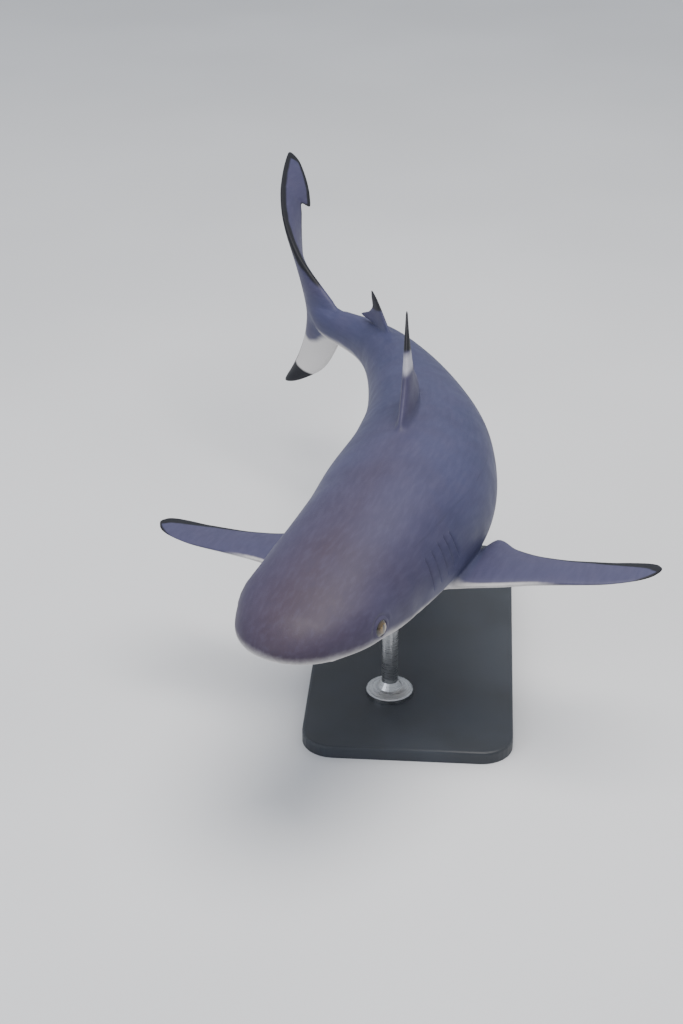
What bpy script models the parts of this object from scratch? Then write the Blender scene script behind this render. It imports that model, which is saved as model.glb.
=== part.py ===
"""Blacktip reef shark, Carcharhinus melanopterus: a still, life-size display model on a plain stand.

The body is drawn straight first, in body coordinates: along (from the snout back), left and up.
Sizes there are shares of the total length. The spine's headings then bend it into its swimming turn.
World axes: the snout points towards -Y, the shark's left is +X and up is +Z, in metres.
The origin is the middle of the stand's underside.
"""

import bpy
import bmesh
import numpy as np
from math import cos, pi, radians, sin

# Driving dimensions, in metres
TOTAL_LENGTH = 1.30
AXIS_HEIGHT = 0.26
GAP = 0.0003

# Where the body is parted, in shares of the total length
GILLS_START = 0.150
TRUNK_START = 0.228
STALK_START = 0.500
PIT = 0.755
STALK_END = 0.805

# along, half width, top, bottom, height of the widest line, roundness above, roundness below
STATIONS = np.array((
    (0.000, 0.0535, 0.0190, 0.0125, -0.0010, 2.0, 2.0),
    (0.035, 0.0590, 0.0270, 0.0165, -0.0020, 2.1, 2.2),
    (0.080, 0.0655, 0.0395, 0.0260, -0.0035, 2.2, 2.5),
    (0.115, 0.0695, 0.0475, 0.0355, -0.0060, 2.2, 2.5),
    (0.160, 0.0730, 0.0555, 0.0455, -0.0070, 2.2, 2.4),
    (0.215, 0.0785, 0.0640, 0.0560, -0.0060, 2.1, 2.3),
    (0.290, 0.0840, 0.0705, 0.0670, -0.0040, 2.0, 2.2),
    (0.400, 0.0715, 0.0660, 0.0680, -0.0020, 2.0, 2.1),
    (0.490, 0.0550, 0.0550, 0.0570, 0.0000, 2.0, 2.0),
    (0.560, 0.0435, 0.0450, 0.0450, 0.0000, 2.0, 2.0),
    (0.630, 0.0325, 0.0350, 0.0335, 0.0000, 2.0, 2.0),
    (0.700, 0.0230, 0.0255, 0.0240, 0.0000, 2.0, 2.0),
    (0.755, 0.0175, 0.0200, 0.0190, 0.0000, 2.0, 2.0),
    (0.805, 0.0140, 0.0240, 0.0070, 0.0085, 2.0, 2.0),
))
SNOUT_WIDTH_ROUNDING = 0.075
SNOUT_HEIGHT_ROUNDING = 0.032
SNOUT_BLUNTNESS = 2.2

# Heading of the spine at places along it, degrees from +Y towards +X
SPINE_ALONG = (0.00, 0.15, 0.30, 0.47, 0.63, 0.755, 0.83, 0.90, 1.00)
SPINE_HEADING = (17.0, 21.5, 12.0, -7.0, -19.5, -46.0, -14.5, 13.5, 32.0)
SPINE_ANCHOR = 0.36
# Roll of the body about its axis at places along it, in degrees: it leans to the right, into the turn
ROLL_ALONG = (0.00, 0.14, 0.24, 0.66, 0.76, 1.00)
ROLL = (0.0, 0.0, 6.5, 6.5, 0.0, 0.0)

# The tail fin's two lobes trail to the right: how far the fin turns over its height, in radians for each
# total length, and where along the spine that starts and is full
TAIL_CUP = 5.9
CUP_START = 0.755
CUP_FULL = 0.83

# Rings of the body and of the fins
RING_POINTS = 36
HEAD_RINGS = 12
GILL_RINGS = 6
TRUNK_RINGS = 11
STALK_RINGS = 13
CHORD_STEPS = 6
FIN_EDGE = 0.0005

# Fin outlines: height from the root, leading edge and trailing edge, in shares of the total length
PECTORAL = (
    (-0.030, -0.008, 0.052), (0.000, 0.000, 0.062), (0.018, 0.0027, 0.0962), (0.041, 0.0064, 0.0779),
    (0.0715, 0.0129, 0.0659), (0.102, 0.0165, 0.0621), (0.133, 0.0203, 0.0622), (0.153, 0.0263, 0.0641),
    (0.167, 0.0332, 0.0648), (0.174, 0.0386, 0.0638), (0.1785, 0.0444, 0.0617), (0.1808, 0.0494, 0.0584),
)
PELVIC = (
    (-0.014, -0.008, 0.045), (0.000, 0.000, 0.048), (0.010, 0.004, 0.075), (0.025, 0.012, 0.058),
    (0.040, 0.022, 0.046), (0.048, 0.030, 0.043), (0.050, 0.034, 0.041),
)
FIRST_DORSAL = (
    (-0.024, -0.018, 0.105), (0.000, 0.000, 0.105), (0.0095, 0.011, 0.137), (0.017, 0.019, 0.119),
    (0.032, 0.036, 0.101), (0.050, 0.054, 0.092), (0.068, 0.071, 0.0905), (0.081, 0.086, 0.096),
    (0.087, 0.096, 0.100),
)
SECOND_DORSAL = (
    (-0.012, -0.006, 0.046), (0.000, 0.000, 0.045), (0.006, 0.008, 0.082), (0.014, 0.018, 0.062),
    (0.024, 0.028, 0.052), (0.034, 0.038, 0.053), (0.040, 0.047, 0.052),
)
LOWER_LOBE = (
    (-0.002, -0.010, 0.088), (0.008, -0.010, 0.082), (0.019, -0.004, 0.080), (0.036, 0.006, 0.0775),
    (0.060, 0.022, 0.0775), (0.080, 0.044, 0.079), (0.096, 0.063, 0.080), (0.1025, 0.074, 0.078),
)
# The upper lobe is measured along its top edge, which rises from above the pit
UPPER_LOBE_RISE = radians(33)
UPPER_LOBE_FOOT = 0.020
UPPER_LOBE = (
    (0.0640, 0.000, 0.0630), (0.085, -0.001, 0.056), (0.110, -0.003, 0.045), (0.140, -0.0045, 0.038),
    (0.170, -0.005, 0.033), (0.1845, -0.005, 0.0305), (0.190, -0.0048, 0.044), (0.205, -0.004, 0.0405),
    (0.230, -0.0025, 0.027), (0.248, -0.001, 0.013), (0.254, 0.000, 0.004),
)

# Where the fins sit: along, sideways, up, and their half thickness at the root and near the tip
PECTORAL_FRAME = 0.26
PECTORAL_ROOT = (0.2135, 0.067, -0.040)
PECTORAL_DROOP = {"left": radians(-1), "right": radians(-6)}
PECTORAL_PITCH = 0.0
PELVIC_FRAME = 0.50
PELVIC_ROOT = (0.485, 0.030, -0.045)
PELVIC_DROOP = radians(35)
PELVIC_PITCH = radians(-7)

# Eyes: place along and up, half sizes along, up and outwards, and how far the middle is sunk
EYE_ALONG = 0.078
EYE_UP = 0.001
EYE_SIZE = (0.0140, 0.0130, 0.0090)
EYE_SUNK = 0.0060

# Mouth: front, corners, back of the jaw, and the height of the cut above the jaw's underside
MOUTH_FRONT = 0.062
MOUTH_CORNER = 0.105
MOUTH_HALF_WIDTH = 0.043
JAW_BACK = 0.132
JAW_TOP_FRONT = -0.0065
JAW_TOP_BACK = -0.0255

# Gill slits: five on each side, with their height range and the width and depth of the cut
GILL_SLITS = (0.168, 0.180, 0.192, 0.203, 0.213)
GILL_LOW = -0.012
GILL_HIGH = 0.022
GILL_WIDTH = 0.0016
GILL_DEPTH = 0.0045

# Stand
BASE_SIZE = (0.26, 0.52, 0.016)
BASE_CORNER = 0.040
BASE_EDGE = 0.003
RODS = {"front": 0.255, "rear": 0.480}
ROD_SEGMENTS = 20
ROD_PROFILE = ((0.030, 0.000), (0.030, 0.005), (0.0285, 0.0065), (0.016, 0.010), (0.0105, 0.018))
ROD_RADIUS = 0.0100

SLATE_BACK = "#6B6A7C"
BROWN_HEAD = "#77706F"
FIN_GREY = "#65667A"
EYE_BROWN = "#4A3A22"
BASE_PAINT = "#2F3338"
ROD_STEEL = "#B4B7BA"


# ---- curves and the bent body

def smooth_through(xs, ys, x):
    """Monotone cubic through the points (xs, ys): it never overshoots between two of them."""
    xs = np.asarray(xs, float)
    ys = np.asarray(ys, float)
    x = np.clip(np.asarray(x, float), xs[0], xs[-1])
    step = np.diff(xs)
    rise = np.diff(ys) / step
    slope = np.zeros_like(ys)
    slope[0] = rise[0]
    slope[-1] = rise[-1]
    before = 2 * step[1:] + step[:-1]
    after = step[1:] + 2 * step[:-1]
    level = rise[:-1] * rise[1:] <= 0
    low = np.where(level, 1.0, rise[:-1])
    high = np.where(level, 1.0, rise[1:])
    slope[1:-1] = np.where(level, 0.0, (before + after) / (before / low + after / high))
    i = np.clip(np.searchsorted(xs, x) - 1, 0, len(step) - 1)
    t = (x - xs[i]) / step[i]
    return ((1 + 2 * t) * (1 - t) ** 2 * ys[i] + t * (1 - t) ** 2 * step[i] * slope[i]
            + t * t * (3 - 2 * t) * ys[i + 1] + t * t * (t - 1) * step[i] * slope[i + 1])


SPINE_STEPS = np.linspace(-0.02, 1.08, 1101)


def heading(along):
    """Heading of the spine, in radians from +Y towards +X."""
    return np.radians(smooth_through(SPINE_ALONG, SPINE_HEADING, along))


def spine_line():
    """World X and Y of the spine at SPINE_STEPS, with its anchor at the origin."""
    turn = heading(SPINE_STEPS)
    step = SPINE_STEPS[1] - SPINE_STEPS[0]
    x = np.concatenate(([0.0], np.cumsum(np.sin(turn[1:]) + np.sin(turn[:-1])) * step / 2))
    y = np.concatenate(([0.0], np.cumsum(np.cos(turn[1:]) + np.cos(turn[:-1])) * step / 2))
    x = x - np.interp(SPINE_ANCHOR, SPINE_STEPS, x)
    y = y - np.interp(SPINE_ANCHOR, SPINE_STEPS, y)
    return x, y


SPINE_X, SPINE_Y = spine_line()


def cupped(points):
    """Curls the tail fin to the right: heights run round an arc whose turn is k times the height.

    left becomes left cos(turn) - (1 - cos(turn)) / k, and up becomes sin(turn) / k + left sin(turn).
    """
    along, left, up = np.moveaxis(points, -1, 0)
    share = np.clip((along - CUP_START) / (CUP_FULL - CUP_START), 0, 1)
    k = TAIL_CUP * share * share * (3 - 2 * share)
    turn = k * up
    lag = k * up * up / 2 * np.sinc(turn / (2 * pi)) ** 2
    return np.stack((along, left * np.cos(turn) - lag, up * np.sinc(turn / pi) + left * np.sin(turn)), -1)


def rolled(points, at):
    """Turns points about the body's axis by the roll at that place: what is above leans to the right."""
    roll = np.radians(smooth_through(ROLL_ALONG, ROLL, at))
    along, left, up = np.moveaxis(points, -1, 0)
    return np.stack((along, left * np.cos(roll) - up * np.sin(roll), up * np.cos(roll) + left * np.sin(roll)), -1)


def bend(points, frame=None):
    """Carries (along, left, up) into the world. With a frame the piece stays rigid at that place."""
    points = cupped(np.asarray(points, float))
    along = points[..., 0]
    at = along if frame is None else np.full_like(along, frame)
    points = rolled(points, at)
    turn = heading(at)
    back = along - at
    x = np.interp(at, SPINE_STEPS, SPINE_X) + points[..., 1] * np.cos(turn) + back * np.sin(turn)
    y = np.interp(at, SPINE_STEPS, SPINE_Y) - points[..., 1] * np.sin(turn) + back * np.cos(turn)
    world = np.stack((x, y, points[..., 2]), -1) * TOTAL_LENGTH
    world[..., 2] += AXIS_HEIGHT
    return world


def section(along, angle, grow=0.0):
    """A point of the body's surface: a superellipse whose upper and lower halves differ."""
    along = np.asarray(along, float)
    angle = np.asarray(angle, float)
    width, top, bottom, level, round_up, round_down = (
        smooth_through(STATIONS[:, 0], STATIONS[:, k], along) for k in range(1, 7))
    from_snout = np.clip(along / SNOUT_WIDTH_ROUNDING, 0, 1)
    width = width * (1 - (1 - from_snout) ** SNOUT_BLUNTNESS) ** (1 / SNOUT_BLUNTNESS)
    from_end = np.clip((along - PIT) / (STALK_END + 0.002 - PIT), 0, 1)
    width = width * np.sqrt(1 - from_end ** 2) + grow
    height = np.sqrt(1 - (1 - np.clip(along / SNOUT_HEIGHT_ROUNDING, 0, 1)) ** 2)
    across = np.cos(angle)
    up = np.sin(angle)
    power = np.where(up > 0, 2 / round_up, 2 / round_down)
    reach = np.where(up > 0, top - level, bottom + level) * height + grow
    left = width * np.sign(across) * np.abs(across) ** power
    return np.stack((along + 0 * angle, left, level * height + reach * np.sign(up) * np.abs(up) ** power), -1)


def outward(along, angle):
    """Unit normal of the straight body's surface."""
    small = 1e-4
    lengthways = section(along + small, angle) - section(along - small, angle)
    round_about = section(along, angle + small) - section(along, angle - small)
    normal = np.cross(round_about, lengthways)
    return normal / np.linalg.norm(normal)


# ---- mesh helpers

def linear(code):
    """sRGB hex to linear RGBA."""
    parts = [int(code[i:i + 2], 16) / 255 for i in (1, 3, 5)]
    return [c / 12.92 if c <= 0.04045 else ((c + 0.055) / 1.055) ** 2.4 for c in parts] + [1.0]


def paint(obj, code, roughness, metallic=0.0):
    """Gives an object its own material."""
    material = bpy.data.materials.new(obj.name + "_finish")
    material.use_nodes = True
    shader = material.node_tree.nodes["Principled BSDF"]
    shader.inputs["Base Color"].default_value = linear(code)
    shader.inputs["Roughness"].default_value = roughness
    shader.inputs["Metallic"].default_value = metallic
    obj.data.materials.append(material)


def add_object(name, shape, sharp=40):
    """Makes an object of a bmesh, smooth except at edges sharper than the given angle."""
    shape.normal_update()
    bmesh.ops.recalc_face_normals(shape, faces=shape.faces)
    mesh = bpy.data.meshes.new(name)
    shape.to_mesh(mesh)
    shape.free()
    mesh.shade_smooth()
    mesh.set_sharp_from_angle(angle=radians(sharp))
    obj = bpy.data.objects.new(name, mesh)
    bpy.context.collection.objects.link(obj)
    return obj


def loft(name, rings, sharp=40, start=None):
    """A closed body through closed rings of equal length, fanned shut at both ends.

    start is the point that the first ring closes on; each end's middle is used otherwise.
    """
    shape = bmesh.new()
    loops = [[shape.verts.new(p) for p in ring] for ring in rings]
    for one, two in zip(loops, loops[1:]):
        for i in range(len(one)):
            j = (i + 1) % len(one)
            shape.faces.new((one[i], one[j], two[j], two[i]))
    ends = ((loops[0], rings[0].mean(0) if start is None else start), (loops[-1], rings[-1].mean(0)))
    for loop, middle in ends:
        hub = shape.verts.new(middle)
        for i in range(len(loop)):
            shape.faces.new((loop[i], loop[(i + 1) % len(loop)], hub))
    return add_object(name, shape, sharp)


def guide(obj):
    """Marks an object as a cutter, which is no part of the model."""
    obj.hide_render = True
    obj.display_type = "WIRE"
    return obj


def cut(obj, tool, operation="DIFFERENCE"):
    modifier = obj.modifiers.new(operation.title() + " " + tool.name, "BOOLEAN")
    modifier.operation = operation
    modifier.solver = "EXACT"
    modifier.object = tool


# ---- body

def ring_places():
    """Where the body's rings are, node by node. Snout rings crowd towards the tip."""
    half = GAP / TOTAL_LENGTH / 2
    head = GILLS_START * (np.arange(1, HEAD_RINGS + 1) / HEAD_RINGS) ** 2
    head[-1] -= half
    gills = np.linspace(GILLS_START + half, TRUNK_START - half, GILL_RINGS)
    trunk = np.linspace(TRUNK_START + half, STALK_START - half, TRUNK_RINGS)
    # the stalk's last rings crowd together, where it closes inside the tail fin
    plain = np.linspace(STALK_START + half, PIT, STALK_RINGS - 4)
    closing = PIT + (STALK_END - PIT) * np.sin(np.linspace(0, pi / 2, 5)[1:])
    return {"head": head, "gill_region": gills, "trunk": trunk, "tail_stalk": np.append(plain, closing)}


ANGLES = np.linspace(0, 2 * pi, RING_POINTS, endpoint=False)


def body_loft(name, places, grow=0.0, start=None):
    return loft(name, [bend(section(place, ANGLES, grow)) for place in places], start=start)


def make_body():
    places = ring_places()
    snout = bend((0.0, 0.0, 0.0))
    nodes = {}
    for name, rings in places.items():
        nodes[name] = body_loft(name, rings, start=snout if name == "head" else None)
        paint(nodes[name], BROWN_HEAD if name == "head" else SLATE_BACK, 0.42)
    nodes["lower_jaw"] = body_loft("lower_jaw", places["head"], start=snout)
    paint(nodes["lower_jaw"], "#C9C6C2", 0.45)
    behind_head = np.concatenate([places[n] for n in ("gill_region", "trunk", "tail_stalk")])
    # the joints' gaps are closed here, so that fins end evenly across them
    behind_head = behind_head[np.append(True, np.diff(behind_head) > 0.001)]
    whole = guide(body_loft("guide_body", behind_head, GAP / TOTAL_LENGTH))
    return nodes, whole


# ---- mouth, gills and eyes

def jaw_prism(name, grow):
    """A wedge under the head whose front is the arch of the mouth, seen from below a parabola."""
    side = np.linspace(-1, 1, 17)
    wide = MOUTH_HALF_WIDTH + grow
    arch = np.stack((MOUTH_FRONT - grow + (MOUTH_CORNER - MOUTH_FRONT) * side ** 2, wide * side), -1)
    outline = np.concatenate((arch, ((JAW_BACK + grow, wide * 0.94), (JAW_BACK + grow, -wide * 0.94))))
    slope = (JAW_TOP_BACK - JAW_TOP_FRONT) / (JAW_BACK - MOUTH_FRONT)
    top = JAW_TOP_FRONT + slope * (outline[:, 0] - MOUTH_FRONT) + grow
    low = np.full_like(top, -0.12)
    rings = [bend(np.column_stack((outline, level))) for level in (low, top)]
    return guide(loft(name, rings))


def gill_cutter(nodes):
    """Thin upright slabs let into both sides, which leave crescent slits in the curved wall."""
    shape = bmesh.new()
    half = GILL_WIDTH / TOTAL_LENGTH / 2
    depth = GILL_DEPTH / TOTAL_LENGTH
    for place in GILL_SLITS:
        surface = section(place, 0.0)[1]
        for side in (-1, 1):
            corners = []
            for up, lean in ((GILL_LOW, 0.003), (GILL_HIGH, -0.003)):
                for across in (surface - depth, surface + 0.02):
                    corners += [(place + lean - half, side * across, up), (place + lean + half, side * across, up)]
            v = [shape.verts.new(p) for p in bend(corners)]
            for quad in ((0, 1, 3, 2), (4, 6, 7, 5), (0, 4, 5, 1), (2, 3, 7, 6), (0, 2, 6, 4), (1, 5, 7, 3)):
                shape.faces.new([v[i] for i in quad])
    cut(nodes["gill_region"], guide(add_object("guide_gills", shape)))


def eye_angle():
    """The angle round the body at which the eye's height is reached."""
    angles = np.linspace(0, pi / 2, 400)
    return float(np.interp(EYE_UP, section(EYE_ALONG, angles)[:, 2], angles))


def eyeball(name, side, grow):
    """An ellipsoid sunk in the side of the head, its short axis along the surface's normal."""
    angle = eye_angle()
    normal = outward(EYE_ALONG, angle)
    surface = section(EYE_ALONG, angle)
    forward = np.array((1.0, 0.0, 0.0)) - normal[0] * normal
    forward /= np.linalg.norm(forward)
    upward = np.cross(forward, normal)
    mirror = np.array((1.0, side, 1.0))
    size = (np.array(EYE_SIZE) + grow) / TOTAL_LENGTH
    middle = surface - normal * EYE_SUNK / TOTAL_LENGTH
    shape = bmesh.new()
    bmesh.ops.create_uvsphere(shape, u_segments=16, v_segments=8, radius=1.0)
    unit = np.array([v.co for v in shape.verts])
    local = middle + unit @ np.array((forward * size[0], upward * size[1], normal * size[2]))
    for vert, place in zip(shape.verts, bend(local * mirror, EYE_ALONG)):
        vert.co = place
    return add_object(name, shape)


# ---- fins

def fin_rows(outline):
    """Heights of a fin's rings: each point of the outline and one between each two."""
    heights = np.array([row[0] for row in outline])
    middles = (heights[1:] + heights[:-1]) / 2
    return np.sort(np.concatenate((heights, middles)))


def fin_ring(lead, trail, half_thick):
    """Closed ring round a fin's section, as (chord place, thickness).

    Half thickness is the edge's, plus a lens 2.6 sqrt(u)(1 - u) that is fullest a third of the way back.
    """
    u = (1 - np.cos(np.linspace(0, pi, CHORD_STEPS + 1))) / 2
    chord = lead + (trail - lead) * u
    half = FIN_EDGE + max(half_thick - FIN_EDGE, 0) * 2.6 * np.sqrt(u) * (1 - u)
    return np.concatenate((np.column_stack((chord, half)), np.column_stack((chord, -half))[::-1]))


def fin(name, outline, thickness, place, frame=None, inner=()):
    """A closed fin. thickness gives half thickness at places up the fin, place sets a ring in the body.

    inner holds more points of the outline towards the root, which are joined by straight lines.
    """
    table = np.array(tuple(inner) + tuple(outline))
    rings = []
    for h in np.concatenate(([row[0] for row in inner], fin_rows(outline))):
        lead = smooth_through(table[:, 0], table[:, 1], h)
        trail = smooth_through(table[:, 0], table[:, 2], h)
        half = smooth_through(*zip(*thickness), h)
        rings.append(bend(place(fin_ring(float(lead), float(trail), float(half)), h), frame))
    obj = loft(name, rings, sharp=50)
    paint(obj, FIN_GREY, 0.45)
    return obj


def paired_place(root, side, droop, pitch):
    """Sets a side fin: its span droops from level and its chord is pitched down at the back."""
    chord = np.array((cos(pitch), 0.0, -sin(pitch)))
    span = np.array((0.0, side * cos(droop), -sin(droop)))
    thick = np.cross(chord, span) * -side
    start = np.array(root) * (1, side, 1)

    def place(ring, h):
        return start + np.outer(ring[:, 0], chord) + h * span + np.outer(ring[:, 1], thick)
    return place


def median_place(root_along, root_up, fall, direction):
    """Sets a fin in the middle plane, on a root line that falls towards the tail."""
    def place(ring, h):
        up = direction * (root_up + h - fall * ring[:, 0])
        return np.column_stack((root_along + ring[:, 0], ring[:, 1], up))
    return place


def lobe_line():
    """Height of the level line from the stalk to the fork, where the two lobes of the tail fin meet."""
    fork, _, depth = UPPER_LOBE[0]
    return UPPER_LOBE_FOOT + fork * sin(UPPER_LOBE_RISE) - depth * cos(UPPER_LOBE_RISE)


def upper_lobe_foot():
    """The upper lobe's inner points, whose trailing edge runs along the line between the lobes."""
    depth = UPPER_LOBE_FOOT - lobe_line()
    return [(reach, 0.0, (depth + reach * sin(UPPER_LOBE_RISE)) / cos(UPPER_LOBE_RISE))
            for reach in (-0.012, 0.007, 0.026, 0.045)]


def make_fins(body):
    fins = []
    for side, sign in (("left", 1), ("right", -1)):
        fins.append(fin(
            "pectoral_fin_" + side, PECTORAL,
            ((-0.03, 0.0075), (0.03, 0.0060), (0.10, 0.0034), (0.1808, 0.0011)),
            paired_place(PECTORAL_ROOT, sign, PECTORAL_DROOP[side], PECTORAL_PITCH), PECTORAL_FRAME))
        fins.append(fin(
            "pelvic_fin_" + side, PELVIC, ((-0.014, 0.0045), (0.01, 0.0036), (0.05, 0.0009)),
            paired_place(PELVIC_ROOT, sign, PELVIC_DROOP, PELVIC_PITCH), PELVIC_FRAME))
    fins.append(fin(
        "first_dorsal_fin", FIRST_DORSAL, ((-0.024, 0.0085), (0.02, 0.0058), (0.06, 0.0030), (0.087, 0.0010)),
        median_place(0.300, 0.0705, 0.045, 1)))
    fins.append(fin(
        "second_dorsal_fin", SECOND_DORSAL, ((-0.012, 0.0050), (0.015, 0.0028), (0.04, 0.0009)),
        median_place(0.630, 0.0345, 0.135, 1)))
    fins.append(fin(
        "anal_fin", SECOND_DORSAL, ((-0.012, 0.0050), (0.015, 0.0028), (0.04, 0.0009)),
        median_place(0.632, 0.0330, 0.135, -1)))
    half_gap = GAP / TOTAL_LENGTH / 2
    rise = np.array((cos(UPPER_LOBE_RISE), sin(UPPER_LOBE_RISE)))
    across = np.array((sin(UPPER_LOBE_RISE), -cos(UPPER_LOBE_RISE)))
    below_line = lobe_line() - half_gap + LOWER_LOBE[0][0]

    def on_upper_lobe(ring, h):
        flat = (PIT, UPPER_LOBE_FOOT + half_gap) + h * rise + np.outer(ring[:, 0], across)
        return np.column_stack((flat[:, 0], ring[:, 1], flat[:, 1]))

    def on_lower_lobe(ring, h):
        return np.column_stack((PIT + ring[:, 0], ring[:, 1], np.full(len(ring), below_line - h)))

    fins.append(fin(
        "caudal_upper_lobe", UPPER_LOBE,
        ((-0.012, 0.0085), (0.06, 0.0060), (0.12, 0.0042), (0.19, 0.0028), (0.254, 0.0010)), on_upper_lobe,
        inner=upper_lobe_foot()))
    fins.append(fin(
        "caudal_lower_lobe", LOWER_LOBE, ((-0.002, 0.0070), (0.036, 0.0045), (0.08, 0.0025), (0.1025, 0.0010)),
        on_lower_lobe))
    for obj in fins:
        cut(obj, body)


# ---- stand

def make_stand(body):
    shape = bmesh.new()
    bmesh.ops.create_cube(shape, size=1.0)
    for vert in shape.verts:
        vert.co = (vert.co.x * BASE_SIZE[0], vert.co.y * BASE_SIZE[1], (vert.co.z + 0.5) * BASE_SIZE[2])
    upright = [e for e in shape.edges if abs(e.verts[0].co.z - e.verts[1].co.z) > BASE_SIZE[2] / 2]
    bmesh.ops.bevel(shape, geom=upright, offset=BASE_CORNER, segments=8, profile=0.5, affect="EDGES")
    rim = [e for e in shape.edges if min(v.co.z for v in e.verts) > BASE_SIZE[2] * 0.9]
    bmesh.ops.bevel(shape, geom=rim, offset=BASE_EDGE, segments=2, profile=0.5, affect="EDGES")
    base = add_object("stand_base", shape, 35)
    paint(base, BASE_PAINT, 0.4)
    around = np.linspace(0, 2 * pi, ROD_SEGMENTS, endpoint=False)
    circle = np.column_stack((np.cos(around), np.sin(around)))
    for where, along in RODS.items():
        foot = bend((along, 0.0, 0.0))
        rings = []
        for radius, up in ROD_PROFILE + ((ROD_RADIUS, 0.022), (ROD_RADIUS, AXIS_HEIGHT - BASE_SIZE[2])):
            level = np.full(ROD_SEGMENTS, BASE_SIZE[2] + GAP + up)
            rings.append(np.column_stack((foot[:2] + radius * circle, level)))
        rod = loft("stand_rod_" + where, rings, 35)
        paint(rod, ROD_STEEL, 0.3, 1.0)
        cut(rod, body)


def main():
    for old in list(bpy.data.objects):
        bpy.data.objects.remove(old)
    nodes, body = make_body()
    cut(nodes["lower_jaw"], jaw_prism("guide_jaw", 0.0), "INTERSECT")
    cut(nodes["head"], jaw_prism("guide_mouth", GAP / TOTAL_LENGTH))
    gill_cutter(nodes)
    for side, sign in (("left", 1), ("right", -1)):
        paint(eyeball("eye_" + side, sign, 0.0), EYE_BROWN, 0.12)
        cut(nodes["head"], guide(eyeball("guide_socket_" + side, sign, GAP)))
    make_fins(body)
    make_stand(body)


main()
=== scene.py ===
"""Blacktip reef shark, Carcharhinus melanopterus, on its display stand: skin, eyes, stand, floor and light.

The skin is worked out straight: along from the snout, left and up from the axis. Body and fins are joined
there, and the spine's headings then bend them into the swimming turn. What belongs to the body's shape is in
shares of its length, unless it says metres, and points are in metres.
"""
from contextlib import contextmanager
from math import cos, pi, radians, sin

import bmesh
import bpy
import numpy as np
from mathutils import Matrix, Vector


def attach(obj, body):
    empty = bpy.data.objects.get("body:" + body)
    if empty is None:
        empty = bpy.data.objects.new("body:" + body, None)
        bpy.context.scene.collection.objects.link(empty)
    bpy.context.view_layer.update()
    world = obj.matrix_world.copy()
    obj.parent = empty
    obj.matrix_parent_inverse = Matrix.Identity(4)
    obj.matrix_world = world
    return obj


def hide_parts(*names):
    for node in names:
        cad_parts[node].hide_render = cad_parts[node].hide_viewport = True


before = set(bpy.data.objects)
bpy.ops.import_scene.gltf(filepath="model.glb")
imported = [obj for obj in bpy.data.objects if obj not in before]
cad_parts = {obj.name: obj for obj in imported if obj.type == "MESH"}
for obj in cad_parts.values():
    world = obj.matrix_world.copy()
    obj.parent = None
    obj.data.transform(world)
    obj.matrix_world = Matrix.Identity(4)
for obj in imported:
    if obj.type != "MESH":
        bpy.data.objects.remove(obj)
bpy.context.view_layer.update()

MM = 0.001

# ---- the sizes that the solids are made from

LENGTH = 1.30
AXIS_HEIGHT = 0.26
# The pit at the root of the tail, the last ring of the body, and where its width would come to nothing
PIT = 0.755
STALK_END = 0.805
STALK_CLOSE = STALK_END + 0.002

# Sections: along, half width, top, bottom, height of the widest line, and roundness above and below that
STATIONS = np.array((
    (0.000, 0.0535, 0.0190, 0.0125, -0.0010, 2.0, 2.0),
    (0.035, 0.0590, 0.0270, 0.0165, -0.0020, 2.1, 2.2),
    (0.080, 0.0655, 0.0395, 0.0260, -0.0035, 2.2, 2.5),
    (0.115, 0.0695, 0.0475, 0.0355, -0.0060, 2.2, 2.5),
    (0.160, 0.0730, 0.0555, 0.0455, -0.0070, 2.2, 2.4),
    (0.215, 0.0785, 0.0640, 0.0560, -0.0060, 2.1, 2.3),
    (0.290, 0.0840, 0.0705, 0.0670, -0.0040, 2.0, 2.2),
    (0.400, 0.0715, 0.0660, 0.0680, -0.0020, 2.0, 2.1),
    (0.490, 0.0550, 0.0550, 0.0570, 0.0000, 2.0, 2.0),
    (0.560, 0.0435, 0.0450, 0.0450, 0.0000, 2.0, 2.0),
    (0.630, 0.0325, 0.0350, 0.0335, 0.0000, 2.0, 2.0),
    (0.700, 0.0230, 0.0255, 0.0240, 0.0000, 2.0, 2.0),
    (0.755, 0.0175, 0.0200, 0.0190, 0.0000, 2.0, 2.0),
    (0.805, 0.0140, 0.0240, 0.0070, 0.0085, 2.0, 2.0),
))
# The snout's width and height round off over these, and its width by this power
SNOUT_WIDTH_ROUNDING = 0.075
SNOUT_HEIGHT_ROUNDING = 0.032
SNOUT_BLUNTNESS = 2.2
# Headings of the spine at places along it, in degrees, and the place that stands over the origin
SPINE_ALONG = (0.00, 0.15, 0.30, 0.47, 0.63, 0.755, 0.83, 0.90, 1.00)
SPINE_HEADING = (17.0, 21.5, 12.0, -7.0, -19.5, -46.0, -14.5, 13.5, 32.0)
SPINE_ANCHOR = 0.36
# Roll of the body about its axis at places along it, in degrees: it leans to the right, into the turn
ROLL_ALONG = (0.00, 0.14, 0.24, 0.66, 0.76, 1.00)
ROLL = (0.0, 0.0, 6.5, 6.5, 0.0, 0.0)
# Curl of the tail fin, in radians per body length of height, and where it starts and is full
TAIL_CUP = 5.9
CUP_START = 0.755
CUP_FULL = 0.83

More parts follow.
